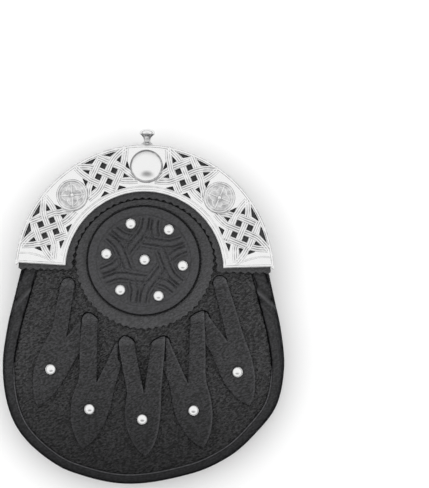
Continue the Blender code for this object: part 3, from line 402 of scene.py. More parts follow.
def body_loop(count):
    """Outline of the pouch, counter-clockwise from the crown."""
    left = [Vector((-left_half * MM, height * MM)) for height, left_half, _ in BODY_SIDES]
    right = [Vector((right_half * MM, height * MM)) for height, _, right_half in BODY_SIDES]
    corners = [Vector((0.0, CROWN_HEIGHT)), *left, BOTTOM_POINT, *reversed(right)]
    return evenly(smooth_curve(corners, 24, closed=True), count)


def inset_body(count, inset):
    """Body outline moved inwards; inset is a function of the height."""
    loop = body_loop(count)
    return [point + normal * inset(point.y) for point, normal in zip(loop, inward(loop))]


def nearest(points):
    """Search tree for the nearest of some flat points."""
    tree = KDTree(len(points))
    for index, point in enumerate(points):
        tree.insert((point.x, point.y, 0.0), index)
    tree.balance()
    return tree


def circle(centre, radius, count, turn=0.0):
    """Counter-clockwise circle."""
    angles = [math.radians(turn) + 2.0 * math.pi * step / count for step in range(count)]
    return [centre + heading(angle) * radius for angle in angles]


def arc(centre_y, radius, start, end, count):
    """Points on a circle about (0, centre_y) from one angle in radians to another."""
    angles = [start + (end - start) * step / (count - 1) for step in range(count)]
    return [Vector((math.cos(a) * radius, centre_y + math.sin(a) * radius)) for a in angles]


def sides(loop):
    """Starts and ends of the sides of a closed loop."""
    return zip(loop, [*loop[1:], loop[0]])


def holds(loop, point):
    """Whether the point is inside the loop."""
    inside = False
    for start, end in sides(loop):
        if (start.y > point.y) != (end.y > point.y):
            crossing = start.x + (point.y - start.y) * (end.x - start.x) / (end.y - start.y)
            inside = inside != (point.x < crossing)
    return inside


def area(loop):
    """Signed area, above zero for a counter-clockwise loop."""
    return sum(start.cross(end) for start, end in sides(loop)) / 2.0


def moved_in(loop, distance):
    """Loop moved to its left by the distance, mitred at its corners."""
    moved = []
    for index, point in enumerate(loop):
        side = left_of((point - loop[index - 1]).normalized())
        bisector = side + left_of((loop[(index + 1) % len(loop)] - point).normalized())
        bisector = bisector.normalized() if bisector.length > 1e-6 else side
        moved.append(point + bisector * distance / max(0.7, bisector.dot(side)))
    return moved


# Meshes


def filling(loops, spacing):
    """Staggered points between loops that keep clear of them."""
    edges = [pair for loop in loops for pair in sides(loop)]
    near = nearest([point for start, end in edges for point in (start, (start + end) / 2.0)])
    low = min(start.y for start, _ in edges)
    high = max(start.y for start, _ in edges)
    row_step = spacing * math.sqrt(0.75)
    points = []
    for row in range(int((high - low) / row_step) + 1):
        y = low + (row + 0.5) * row_step
        crossings = []
        for start, end in edges:
            if (start.y > y) != (end.y > y):
                crossings.append(start.x + (y - start.y) * (end.x - start.x) / (end.y - start.y))
        crossings.sort()
        shift = 0.5 if row % 2 else 0.0
        for left, right in zip(crossings[::2], crossings[1::2]):
            column = math.ceil(left / spacing - shift)
            while (column + shift) * spacing < right:
                x = (column + shift) * spacing
                if near.find((x, y, 0.0))[2] > spacing * 0.55:
                    points.append(Vector((x, y)))
                column += 1
    return points


def cover(body, rings, spacing, height):
    """Triangles between rings of vertices; the first ring is the outline and the rest are holes."""
    loops = [[vertex.co.xy for vertex in ring] for ring in rings]
    vertices = [vertex for ring in rings for vertex in ring]
    owner = [number for number, ring in enumerate(rings) for _ in ring]
    for point in filling(loops, spacing):
        vertices.append(body.verts.new((point.x, point.y, height(point.x, point.y))))
        owner.append(-1)
    points = [vertex.co.xy for vertex in vertices]
    faces = []
    start = 0
    for loop in loops:
        faces.append(list(range(start, start + len(loop))))
        start += len(loop)
    corners, _, triangles, origins, *_ = delaunay_2d_cdt(points, [], faces, 1, 1e-9)
    if len(corners) != len(points):
        raise RuntimeError("an outline crosses itself")
    for triangle in triangles:
        picked = [origins[corner][0] for corner in triangle]
        owners = {owner[index] for index in picked}
        if len(owners) == 1 and owner[picked[0]] > 0:
            centre = sum((points[index] for index in picked), Vector((0.0, 0.0))) / 3.0
            if holds(loops[owner[picked[0]]], centre):
                continue
        body.faces.new([vertices[index] for index in picked])


def sheet(outline, holes=(), *, thickness, edge, spacing, relief=None, steps=3, edge_highlight=None, border=()):
    """Closed flat sheet on Z = 0 with rounded upper edges.

    Relief lifts its top, the edge highlight function gives each edge its painted highlight, and border lists
    rings inside its outer edge.
    """
    def level(x, y):
        return thickness + (relief(x, y) if relief else 0.0)

    body = bmesh.new()
    # layer that holds the painted highlight on the edges
    wear_and_highlight = body.verts.layers.float.new("painted_highlight") if edge_highlight else None
    loops = [outline if area(outline) > 0.0 else outline[::-1]]
    loops.extend(hole if area(hole) < 0.0 else hole[::-1] for hole in holes)
    feet = []
    rims = []
    for loop in loops:
        rings = [[body.verts.new((point.x, point.y, 0.0)) for point in loop]]
        angles = [math.pi / 2.0 * step / steps for step in range(steps + 1)]
        insets = [(edge * (1.0 - math.cos(angle)), edge * (1.0 - math.sin(angle))) for angle in angles]
        if loop is loops[0]:
            insets.extend((edge + reach, 0.0) for reach in border)
        for inset, drop in insets:
            ring = []
            for point in moved_in(loop, inset):
                ring.append(body.verts.new((point.x, point.y, level(point.x, point.y) - drop)))
            if edge_highlight:
                for vertex, point, normal in zip(ring, loop, inward(loop)):
                    vertex[wear_and_highlight] = edge_highlight(point, -normal)
            rings.append(ring)
        for lower, upper in zip(rings, rings[1:]):
            for index in range(len(loop)):
                after = (index + 1) % len(loop)
                body.faces.new((lower[index], lower[after], upper[after], upper[index]))
        feet.append(rings[0])
        rims.append(rings[-1])
    cover(body, rims, spacing, level)
    cover(body, feet, spacing * 5.0, lambda x, y: 0.0)
    return body


def turned(profile, segments):
    """Closed solid turned about Z from (radius, height) pairs that start and end on the axis."""
    body = bmesh.new()
    rings = []
    for radius, height in profile:
        if radius == 0.0:
            rings.append([body.verts.new((0.0, 0.0, height))])
            continue
        angles = [2.0 * math.pi * step / segments for step in range(segments)]
        rings.append([body.verts.new((math.cos(a) * radius, math.sin(a) * radius, height)) for a in angles])
    for first, second in zip(rings, rings[1:]):
        for index in range(segments):
            after = (index + 1) % segments
            corners = [first[index % len(first)], first[after % len(first)]]
            corners += [second[after % len(second)], second[index % len(second)]]
            body.faces.new(list(dict.fromkeys(corners)))
    return body


def lofted(sections, closed=False):
    """Closed solid through rings of equal point count, with flat ends unless the row of rings closes."""
    body = bmesh.new()
    rings = [[body.verts.new(point) for point in section] for section in sections]
    pairs = list(zip(rings, rings[1:]))
    if closed:
        pairs.append((rings[-1], rings[0]))
    else:
        body.faces.new(rings[0])
        body.faces.new(rings[-1])
    for first, second in pairs:
        for index in range(len(first)):
            after = (index + 1) % len(first)
            body.faces.new((first[index], first[after], second[after], second[index]))
    return body


def marked(body, name, amount):
    """Add to a named mark on each vertex what a function gives for its place: painted highlight, or painted
    shade and darker tone.
    """
    layer = body.verts.layers.float.get(name) or body.verts.layers.float.new(name)
    for vertex in body.verts:
        vertex[layer] += amount(vertex.co)
    return body


def hump(value, middle, width):
    """Smooth hump of height 1 at a middle."""
    return math.exp(-((value - middle) / width) ** 2)


def laid(body, place):
    """Move every vertex to the place that the function gives for it."""
    for vertex in body.verts:
        vertex.co = place(vertex.co.x, vertex.co.y, vertex.co.z)
    return body


def on_front(level, centre=None, turn=0.0):
    """Placing function that drapes a flat shape over the front wall at a level above it."""
    cosine = math.cos(math.radians(turn))
    sine = math.sin(math.radians(turn))
    shift = centre or Vector((0.0, 0.0))

    def place(x, y, height):
        across = shift.x + x * cosine - y * sine
        up = shift.y + x * sine + y * cosine
        lift = level(across, up) if callable(level) else level
        return Vector((across, up, front_z(across, up) + lift + height))

    return place


def under_back(drop):
    """Placing function that hangs a flat shape below the back wall, its top away from the wall."""
    return lambda x, y, height: Vector((x, y, back_z(x, y) - drop - height))


def finished(name, body, finish, nodes=(), carrier="pouch", smooth=40.0):
    """Object for a mesh: cleaned, faces outward, riding on its body in the CAD node's place."""
    bmesh.ops.remove_doubles(body, verts=body.verts, dist=1e-7)
    bmesh.ops.recalc_face_normals(body, faces=body.faces)
    mesh = bpy.data.meshes.new(name)
    body.to_mesh(mesh)
    body.free()
    mesh.shade_smooth()
    mesh.set_sharp_from_angle(angle=math.radians(smooth))
    mesh.materials.append(finish_of(finish))
    piece = bpy.data.objects.new(name, mesh)
    bpy.context.scene.collection.objects.link(piece)
    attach(piece, carrier)
    if nodes:
        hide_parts(*nodes)
    return piece


# Node trees


def fed(made, inputs):
    """Set a node's inputs to values, or link them to sockets or to the first outputs of other nodes."""
    for key, value in inputs.items():
        if isinstance(value, bpy.types.Node):
            value = next(socket for socket in value.outputs if socket.enabled)
        if isinstance(value, bpy.types.NodeSocket):
            made.id_data.links.new(value, made.inputs[key])
        else:
            made.inputs[key].default_value = value
    return made


def node(tree, kind, *inputs, **settings):
    """Add a node with its settings. Its inputs are given in the node's order, or by name in one dict."""
    made = tree.nodes.new(kind)
    for key, value in settings.items():
        setattr(made, key, value)
    return fed(made, inputs[0] if inputs and isinstance(inputs[0], dict) else dict(enumerate(inputs)))


def new_tree(name, values):
    """Geometry tree with its named inputs and their defaults; returns it with its input sockets."""
    tree = bpy.data.node_groups.new(name, "GeometryNodeTree")
    face = tree.interface
    face.new_socket("Shape", in_out="OUTPUT", socket_type="NodeSocketGeometry")
    face.new_socket("Lines", in_out="INPUT", socket_type="NodeSocketGeometry")
    for label, value in values.items():
        kind = "NodeSocketInt" if isinstance(value, int) else "NodeSocketFloat"
        face.new_socket(label, in_out="INPUT", socket_type=kind).default_value = value
    face.new_socket("Material", in_out="INPUT", socket_type="NodeSocketMaterial")
    return tree, node(tree, "NodeGroupInput").outputs


def end_tree(tree, given, geometry):
    """Close a geometry tree: real geometry with its material."""
    real = node(tree, "GeometryNodeRealizeInstances", geometry)
    dressed = node(tree, "GeometryNodeSetMaterial", {"Geometry": real, "Material": given["Material"]})
    node(tree, "NodeGroupOutput", dressed)
    return tree


def ribbon_tree():
    """Ribbons with ridged tops along the edges of a mesh, repeated round an arch."""
    tree, given = new_tree("sporran ribbon", {
        "Width": 4.1 * MM, "Height": 1.2 * MM, "Groove Depth": 0.35 * MM, "Ridges": 3.0, "Section Points": 24,
        "Copies": 1, "Arch Radius": 0.0, "Arch Centre": 0.0, "First Turn": 0.0, "Turn Step": 0.0,
    })
    curve = node(tree, "GeometryNodeMeshToCurve", given["Lines"])
    level = node(tree, "GeometryNodeSetCurveNormal", curve, mode="Z_UP")
    points = {"Resolution": given["Section Points"], "Radius": 1.0}
    ring = node(tree, "GeometryNodeCurvePrimitiveCircle", points)
    across, up, _ = node(tree, "ShaderNodeSeparateXYZ", node(tree, "GeometryNodeInputPosition")).outputs
    # groove is 1 at the ribbon's sides and between its ridges, and 0 on top of a ridge
    groove = across
    for step in (("ADD", 1.0), ("MULTIPLY", given["Ridges"]), ("MULTIPLY", math.pi), ("COSINE",)):
        groove = node(tree, "ShaderNodeMath", groove, *step[1:], operation=step[0])
    groove = node(tree, "ShaderNodeMath", groove, 0.5, 0.5, operation="MULTIPLY_ADD")
    cut = node(tree, "ShaderNodeMath", groove, given["Groove Depth"], operation="MULTIPLY")
    top = node(tree, "ShaderNodeMath", given["Height"], cut, operation="SUBTRACT")
    shoulder = node(tree, "ShaderNodeMath", up, 3.0, operation="MULTIPLY")
    shoulder = node(tree, "ShaderNodeClamp", shoulder, 0.0, 1.0)
    rise = node(tree, "ShaderNodeMath", top, shoulder, operation="MULTIPLY")
    down = node(tree, "ShaderNodeMath", rise, -1.0, operation="MULTIPLY")
    half = node(tree, "ShaderNodeMath", given["Width"], 0.5, operation="MULTIPLY")
    side = node(tree, "ShaderNodeMath", across, half, operation="MULTIPLY")
    # the groove is also stored as painted shade, darker at the ribbon's sides and between its ridges
    grooved = node(
        tree, "GeometryNodeStoreNamedAttribute", {"Geometry": ring, "Name": "painted_shade_and_tone", "Value": groove},
        data_type="FLOAT", domain="POINT",
    )
    corner = node(tree, "ShaderNodeCombineXYZ", side, down)
    section = node(tree, "GeometryNodeSetPosition", {"Geometry": grooved, "Position": corner})
    parts = {"Curve": level, "Profile Curve": section, "Fill Caps": True}
    swept = node(tree, "GeometryNodeCurveToMesh", parts)
    index = node(tree, "GeometryNodeInputIndex")
    turn = node(
        tree, "ShaderNodeMath", index, given["Turn Step"], given["First Turn"], operation="MULTIPLY_ADD",
    )
    cosine = node(tree, "ShaderNodeMath", turn, operation="COSINE")
    sine = node(tree, "ShaderNodeMath", turn, operation="SINE")
    far_x = node(tree, "ShaderNodeMath", cosine, given["Arch Radius"], operation="MULTIPLY")
    far_y = node(
        tree, "ShaderNodeMath", sine, given["Arch Radius"], given["Arch Centre"], operation="MULTIPLY_ADD",
    )
    far_away = node(tree, "ShaderNodeCombineXYZ", far_x, far_y)
    spots = node(tree, "GeometryNodePoints", given["Copies"], far_away)
    facing = node(tree, "FunctionNodeEulerToRotation", node(tree, "ShaderNodeCombineXYZ", {"Z": turn}))
    placing = {"Points": spots, "Instance": swept, "Rotation": facing}
    copies = node(tree, "GeometryNodeInstanceOnPoints", placing)
    return end_tree(tree, given, copies)


def stitch_tree():
    """Short round stitches along the edges of a mesh."""
    tree, given = new_tree("sporran stitches", {
        "Pitch": 3.0 * MM, "Stitch Length": 2.2 * MM, "Thread Thickness": 0.7 * MM, "Lean": 0.0,
    })
    curve = node(tree, "GeometryNodeMeshToCurve", given["Lines"])
    steps = node(tree, "GeometryNodeResampleCurve", {"Curve": curve, "Length": given["Pitch"]}, mode="LENGTH")
    tangent = node(tree, "GeometryNodeInputTangent")
    facing = node(tree, "FunctionNodeAlignRotationToVector", {"Vector": tangent}, axis="X", pivot_axis="Z")
    lean = node(tree, "FunctionNodeEulerToRotation", node(tree, "ShaderNodeCombineXYZ", {"Z": given["Lean"]}))
    turn = node(
        tree, "FunctionNodeRotateRotation", {"Rotation": facing, "Rotate By": lean}, rotation_space="LOCAL",
    )
    bead = node(tree, "GeometryNodeMeshUVSphere", {"Segments": 8, "Rings": 6, "Radius": 0.5})
    thick = given["Thread Thickness"]
    size = node(tree, "ShaderNodeCombineXYZ", given["Stitch Length"], thick, thick)
    row = {"Points": steps, "Instance": bead, "Rotation": turn, "Scale": size}
    return end_tree(tree, given, node(tree, "GeometryNodeInstanceOnPoints", row))


def stud_tree():
    """A domed stud on a thin collar at each point of a mesh."""
    tree, given = new_tree("sporran studs", {
        "Radius": STUD_RADIUS, "Height": 2.4 * MM, "Collar Height": 0.7 * MM, "Cap Share": 0.96,
    })
    ball = node(tree, "GeometryNodeMeshUVSphere", {"Segments": 32, "Rings": 16, "Radius": 1.0})
    place = node(tree, "GeometryNodeInputPosition")
    up = node(tree, "ShaderNodeSeparateXYZ", place).outputs["Z"]
    flat = node(tree, "ShaderNodeVectorMath", place, (1.0, 1.0, 0.0), operation="MULTIPLY")
    is_cap = node(tree, "ShaderNodeMath", up, -0.01, operation="GREATER_THAN")
    dome = node(tree, "ShaderNodeMath", given["Height"], given["Collar Height"], operation="SUBTRACT")
    length = node(tree, "ShaderNodeVectorMath", flat, operation="LENGTH")
    bow = node(tree, "ShaderNodeMath", length, 2.8, operation="POWER")
    bow = node(tree, "ShaderNodeMath", 1.0, bow, operation="SUBTRACT")
    cap_z = node(tree, "ShaderNodeMath", bow, dome, given["Collar Height"], operation="MULTIPLY_ADD")
    fall = node(tree, "ShaderNodeMath", up, 2.6, 1.0, operation="MULTIPLY_ADD")
    fall = node(tree, "ShaderNodeClamp", fall, 0.0, 1.0)
    foot_z = node(tree, "ShaderNodeMath", fall, given["Collar Height"], operation="MULTIPLY")
    level = node(tree, "ShaderNodeMix", {"Factor": is_cap, "A": foot_z, "B": cap_z}, data_type="FLOAT")
    spread = node(tree, "ShaderNodeMath", length, 0.001, operation="MAXIMUM")
    spread = node(tree, "ShaderNodeMath", 1.0, spread, operation="DIVIDE")
    spread = node(tree, "ShaderNodeMath", spread, 1.1, operation="MINIMUM")
    share = {"Factor": is_cap, "A": spread, "B": given["Cap Share"]}
    reach = node(tree, "ShaderNodeMix", share, data_type="FLOAT")
    reach = node(tree, "ShaderNodeMath", reach, given["Radius"], operation="MULTIPLY")
    wide = node(tree, "ShaderNodeVectorMath", {"Vector": flat, "Scale": reach}, operation="SCALE")
    tall = node(tree, "ShaderNodeCombineXYZ", {"Z": level})
    shaped = node(tree, "ShaderNodeVectorMath", wide, tall, operation="ADD")
    stud = node(tree, "GeometryNodeSetPosition", {"Geometry": ball, "Position": shaped})
    studs = node(tree, "GeometryNodeInstanceOnPoints", {"Points": given["Lines"], "Instance": stud})
    return end_tree(tree, given, studs)


TREES = {"ribbon": ribbon_tree, "stitches": stitch_tree, "studs": stud_tree}


def ribbon(width, height, groove=0.0, ridges=1.0, points=16):
    """Inputs of the ribbon tree."""
    return {
        "Width": width, "Height": height, "Groove Depth": groove, "Ridges": ridges, "Section Points": points,
    }


def stitches(pitch, length, thread, lean=0.0):
    """Inputs of the stitch tree."""
    return {"Pitch": pitch, "Stitch Length": length, "Thread Thickness": thread, "Lean": lean}


def grown(kind, paths, finish, values, closed=False, body=None):
    """Mesh that a geometry tree makes along paths, or at points if each path is one point."""
    tree = bpy.data.node_groups.get(f"sporran {kind}") or TREES[kind]()
    points = []
    edges = []
    for path in paths:
        first = len(points)
        points.extend(tuple(point) if len(point) == 3 else (*point, 0.0) for point in path)
        edges.extend((index, index + 1) for index in range(first, len(points) - 1))
        if closed:
            edges.append((len(points) - 1, first))
    lines = bpy.data.meshes.new("lines")
    lines.from_pydata(points, edges, [])
    carrier = bpy.data.objects.new("lines", lines)
    bpy.context.scene.collection.objects.link(carrier)
    modifier = carrier.modifiers.new(tree.name, "NODES")
    modifier.node_group = tree
    values = {**values, "Material": finish_of(finish)}
    for item in tree.interface.items_tree:
        if item.in_out == "INPUT" and item.name in values:
            modifier[item.identifier] = values[item.name]
    graph = bpy.context.evaluated_depsgraph_get()
    result = bpy.data.meshes.new_from_object(carrier.evaluated_get(graph), depsgraph=graph)
    carrier.modifiers.remove(modifier)
    bpy.data.objects.remove(carrier)
    bpy.data.meshes.remove(lines)
    body = body or bmesh.new()
    body.from_mesh(result)
    bpy.data.meshes.remove(result)
    return body


# Materials


def linear(code):
    """Linear colour with alpha for an sRGB hex code."""
    channels = []
    for start in (0, 2, 4):
        value = int(code[start:start + 2], 16) / 255.0
        channels.append(value / 12.92 if value <= 0.04045 else ((value + 0.055) / 1.055) ** 2.4)
    return (*channels, 1.0)


def as_hex(colour):
    """Hex code of an sRGB colour property."""
    return "".join(f"{round(channel * 255.0):02x}" for channel in colour)


def new_material(name):
    """Empty material; returns it with its tree, its shader and the piece's own coordinates."""
    material = bpy.data.materials.new(name)
    material.use_nodes = True
    tree = material.node_tree
    return material, tree, tree.nodes["Principled BSDF"], node(tree, "ShaderNodeTexCoord").outputs["Object"]


def leather(name, dark, light, grain, grain_depth, ripple_depth, rough, sheen):
    """Dyed cowhide: grain-coloured pebbles with painted shade in their valleys and painted highlight on their
    tops, drawn coarser than the real 1 mm so that they show.
    """
    material, tree, shader, place = new_material(name)
    wander = node(tree, "ShaderNodeTexNoise", {"Vector": place, "Scale": 260.0, "Detail": 2.0})
    bend = (wander.outputs["Color"], (grain * 0.9,) * 3, place)
    bent = node(tree, "ShaderNodeVectorMath", *bend, operation="MULTIPLY_ADD")
    # the pebbles are longer along the creases of the hide, which run a little uphill
    flattened = node(
        tree, "ShaderNodeMapping", {"Vector": bent, "Rotation": (0.0, 0.0, 0.45), "Scale": (1.7, 1.0, 1.0)},
        vector_type="TEXTURE",
    )
    pebbles = node(
        tree, "ShaderNodeTexVoronoi", {"Vector": flattened, "Scale": 1.0 / grain, "Smoothness": 0.45},
        feature="SMOOTH_F1",
    )
    domes = node(tree, "ShaderNodeMapRange", pebbles, 0.1, 0.75, 1.0, 0.0)
    stretched = node(
        tree, "ShaderNodeMapping", {"Vector": place, "Rotation": (0.0, 0.0, 0.4), "Scale": (2.1, 1.0, 1.0)},
        vector_type="TEXTURE",
    )
    ripples = {"Vector": stretched, "Scale": 1.35 / grain, "Detail": 2.0, "Roughness": 0.6}
    ripples = node(tree, "ShaderNodeTexNoise", ripples)
    fine = node(tree, "ShaderNodeTexNoise", {"Vector": place, "Scale": 1800.0, "Detail": 2.0})
    wear_and_highlight = {"Vector": place, "Scale": 38.0, "Detail": 4.0, "Roughness": 0.6}
    wear_and_highlight = node(tree, "ShaderNodeTexNoise", wear_and_highlight)
    # painted shade: the hide is drawn darker and duller towards the foot of the pouch, and a little darker
    # and duller under its crown
    height = node(tree, "ShaderNodeSeparateXYZ", place).outputs["Y"]
    foot = node(tree, "ShaderNodeMapRange", height, -0.105, -0.04, 0.46, 1.0)
    crown = node(tree, "ShaderNodeMapRange", height, 0.02, 0.075, 1.0, 0.8)
    painted_light = node(tree, "ShaderNodeMath", foot, crown, operation="MULTIPLY")
    # colour of the grain, with painted shade in the pebbles' valleys and painted highlight on their tops
    shade = node(tree, "ShaderNodeMath", domes, 0.5, ripples, operation="MULTIPLY_ADD")
    shade = node(tree, "ShaderNodeMapRange", shade, 0.49, 0.94)
    shade = node(tree, "ShaderNodeMath", shade, painted_light, operation="MULTIPLY")
    # the marks on the pieces: painted highlight, and painted shade with some darker tones
    painted_highlight = node(tree, "ShaderNodeAttribute", attribute_name="painted_highlight").outputs["Fac"]
    pressed = node(tree, "ShaderNodeAttribute", attribute_name="painted_shade_and_tone").outputs["Fac"]
    colour = linear(dark)
    for factor, tint in ((shade, light), (painted_highlight, "6a6a6c"), (pressed, "060606")):
        blending = {"Factor": factor, "A": colour, "B": linear(tint)}
        colour = node(tree, "ShaderNodeMix", blending, data_type="RGBA")
    # the shine dies where the hide rolls away from the eye
    turned_away = node(tree, "ShaderNodeLayerWeight", {"Blend": 0.5}).outputs["Facing"]
    shine = node(tree, "ShaderNodeMapRange", turned_away, 0.08, 0.5, sheen, 0.0)
    skin = {}
    bumps = ((domes, 1.0, grain_depth), (ripples, 1.0, ripple_depth), (fine, 0.5, 0.06 * MM))
    for relief, strength, depth in bumps:
        skin["Normal"] = node(
            tree, "ShaderNodeBump", {"Height": relief, "Strength": strength, "Distance": depth, **skin},
        )
    fed(shader, {
        "Base Color": colour,
        "Roughness": node(tree, "ShaderNodeMapRange", wear_and_highlight, 0.3, 0.7, rough - 0.06, rough + 0.08),
        "Specular IOR Level": node(tree, "ShaderNodeMath", shine, painted_light, operation="MULTIPLY"),
        "IOR": 1.5,
        **skin,
    })
    return material


def polished_alloy(name, bright, shade_colour, rough):
    """Chromed cast alloy: mirror-like, with painted shade, broken up by a cast noise, in its grooves and on
    other marked places.
    """
    material, tree, shader, place = new_material(name)
    painted_shade_and_tone = node(tree, "ShaderNodeAttribute", attribute_name="painted_shade_and_tone").outputs["Fac"]
    cast = node(tree, "ShaderNodeTexNoise", {"Vector": place, "Scale": 300.0, "Detail": 3.0})
    metal_shade = node(tree, "ShaderNodeMath", painted_shade_and_tone, cast, operation="MULTIPLY")
    metal_shade = node(tree, "ShaderNodeMapRange", metal_shade, 0.15, 0.55)
    colours = {"Factor": metal_shade, "A": linear(bright), "B": linear(shade_colour)}
    fed(shader, {
        "Base Color": node(tree, "ShaderNodeMix", colours, data_type="RGBA"),
        "Roughness": node(tree, "ShaderNodeMapRange", cast, 0.3, 0.7, rough, rough + 0.08),
        "Normal": node(tree, "ShaderNodeBump", {"Height": cast, "Strength": 0.35, "Distance": 0.08 * MM}),
        "Metallic": 1.0,
    })
    return material


def waxed_thread(name, colour):
    """Waxed linen thread: a soft shine with a fine twist, drawn coarser than the real 0.2 mm."""
    material, tree, shader, place = new_material(name)
    twist = {"Vector": place, "Scale": 420.0, "Distortion": 1.5}
    twist = node(tree, "ShaderNodeTexWave", twist, bands_direction="DIAGONAL").outputs["Fac"]
    colours = {"Factor": twist, "A": linear(colour), "B": linear("202021")}
    fed(shader, {
        "Base Color": node(tree, "ShaderNodeMix", colours, data_type="RGBA"),
        "Normal": node(tree, "ShaderNodeBump", {"Height": twist, "Strength": 0.6, "Distance": 0.1 * MM}),
        "Roughness": 0.55,
        "Specular IOR Level": 0.25,
    })
    return material


def studio_paper(name, colour):
    """Matt backdrop paper with a barely visible tooth."""
    material, tree, shader, place = new_material(name)
    tooth = node(tree, "ShaderNodeTexNoise", {"Vector": place, "Scale": 400.0, "Detail": 2.0})
    fed(shader, {
        "Base Color": linear(colour),
        "Normal": node(tree, "ShaderNodeBump", {"Height": tooth, "Strength": 0.05, "Distance": 0.1 * MM}),
        "Roughness": 0.9,
    })
    return material


# Leathers: colour of the hollows and of the high places (none: those in the panel), each the grain's own
# colour with painted shade in the hollows and painted highlight on the high places, width of the pebbles,
# depth of the pebbles and of the creases (mm), roughness, shine
LEATHERS = {
    "pebbled cowhide": ("", "", 1.2, 0.75, 1.5, 0.42, 0.45),
    "tumbled cowhide": ("", "", 1.25, 0.4, 0.7, 0.42, 0.45),
    "smooth rolled cowhide": ("121213", "2e2e30", 1.1, 0.03, 0.08, 0.46, 0.3),
    "soft leaf leather": ("0d0d0e", "363638", 1.1, 0.5, 0.9, 0.43, 0.42),
    "pinked patch leather": ("262627", "3e3e40", 1.0, 0.22, 0.3, 0.52, 0.5),
    "embossed leather": ("252526", "37373a", 1.0, 0.12, 0.14, 0.48, 0.46),
    "matt strap leather": ("", "", 1.2, 0.1, 0.16, 0.56, 0.4),
    # the bead's lighter colour is a painted highlight along the seam
    "burnished bead with painted highlight": ("3c3c3e", "5c5c5e", 1.2, 0.03, 0.05, 0.36, 0.6),
}


def finish_of(kind):
    """The named finish, made once."""
    made = bpy.data.materials.get(kind)
    if made:
        return made
    colours = bpy.context.scene.sporran_finish
    if kind in LEATHERS:
        dark, light, grain, grain_depth, ripple_depth, rough, shine = LEATHERS[kind]
        dark = dark or as_hex(colours.leather)
        light = light or as_hex(colours.worn_and_lit_leather)
        return leather(kind, dark, light, grain * MM, grain_depth * MM, ripple_depth * MM, rough, shine)
    if kind == CHROME:
        return polished_alloy(kind, as_hex(colours.metal), "8f8f90", 0.12)
    if kind == "dark nickel":
        return polished_alloy(kind, as_hex(colours.nickel), "3c3b3a", 0.2)
    if kind == THREAD:
        return waxed_thread(kind, as_hex(colours.thread))
    return studio_paper(kind, as_hex(colours.floor))


# Properties


def length_property(name, description, default):
    """Length in metres, shown in the scene's unit."""
    return bpy.props.FloatProperty(
        name=name, description=description, default=default, min=0.0, unit="LENGTH", precision=5,
    )


def colour_property(name, description, default):
    """Colour as sRGB values."""
    return bpy.props.FloatVectorProperty(
        name=name, description=description, default=default, min=0.0, max=1.0, size=3, subtype="COLOR_GAMMA",
    )


class SporranLeatherSizes(bpy.types.PropertyGroup):
    """Sizes of the leather work."""

    crevice_depth: length_property("Seam Depth", "How far the front sinks at its seam", 0.5 * MM)
    crevice_width: length_property("Seam Width", "Width over which the front sinks at its seam", 1.1 * MM)
    bead_width: length_property("Bead Width", "Width of the bead along the front seam", 1.7 * MM)
    bead_rise: length_property("Bead Rise", "Height of the bead along the front seam", 1.25 * MM)
    leaf_edge: length_property("Leaf Edge", "Radius of the edges of the leaves", 0.45 * MM)
    pinking_pitch: length_property("Pinking Pitch", "Distance between the pinked teeth", 4.7 * MM)
    pinking_depth: length_property("Pinking Depth", "Depth of the pinked teeth", 1.3 * MM)
    stitch_pitch: length_property("Stitch Pitch", "Distance between the stitches of the back seam", 4.2 * MM)
    stitch_length: length_property("Stitch Length", "Length of a stitch of the back seam", 3.1 * MM)
    thread: length_property("Thread", "Thickness of the thread", 0.8 * MM)


class SporranMetalSizes(bpy.types.PropertyGroup):
    """Sizes of the metal work."""

    rim_width: length_property("Rim Width", "Width of the raised rim of the cantle", 1.6 * MM)
    rim_rise: length_property("Rim Rise", "Height of the raised rim of the cantle", 0.3 * MM)
    plait_width: length_property("Plait Width", "Width of a band of the plait", 4.1 * MM)
    plait_height: length_property("Plait Height", "Thickness of a band of the plait", 1.2 * MM)
    plait_groove: length_property("Plait Groove", "Depth of the grooves in a band of the plait", 0.2 * MM)
    stud_radius: length_property("Stud Radius", "Radius of the studs", STUD_RADIUS + 0.15 * MM)
    stud_height: length_property("Stud Height", "Height of the studs", 2.4 * MM)


class SporranFinish(bpy.types.PropertyGroup):
    """Colours of the finishes."""

    leather: colour_property("Leather", "Dyed leather in its hollows, with painted shade", (0.03, 0.03, 0.034))
    worn_and_lit_leather: colour_property("Worn And Lit Leather", "Dyed leather on its high places, with painted highlight", (0.238, 0.238, 0.243))
    metal: colour_property("Metal", "Polished metal", (0.895, 0.895, 0.893))
    nickel: colour_property("Nickel", "Dark nickel", (0.72, 0.71, 0.7))
    thread: colour_property("Thread", "Waxed thread", (0.05, 0.05, 0.052))
    floor: colour_property("Floor", "Backdrop paper", (0.97, 0.97, 0.97))


# Pouch body


def leg_of(leaf, side):
    """One leg of a leaf: -1 is its left leg and 1 its right."""
    fork = Vector(leaf.fork) * MM
    along = (Vector(leaf.stud) * MM - fork).normalized()
    slit, way = (leaf.left_slit, leaf.left_way) if side < 0.0 else (leaf.right_slit, leaf.right_way)
    reach = left_of(along) * (leaf.half_width * MM * LEAF_FORK_WIDTH * side)
    edge = fork + reach
    if way == "under":
        edge += (reach * LEAF_SLACK_WIDTH + along * LEAF_SLACK_DROP * MM) * leaf.slack
    start = Vector(SLITS[slit]) * MM
    direction = ((edge + fork) / 2.0 - start).normalized()
    return Leg(start, direction, left_of(direction), way, side, edge)


def by_slit(leg, shape):
    """Points of a paired slit's shape in their place, from right to left."""
    out = leg.side if leg.way == "over" else -leg.side
    points = [leg.start + Vector((out * x, y)) * MM for x, y in shape]
    return points if points[0].x > points[-1].x else points[::-1]


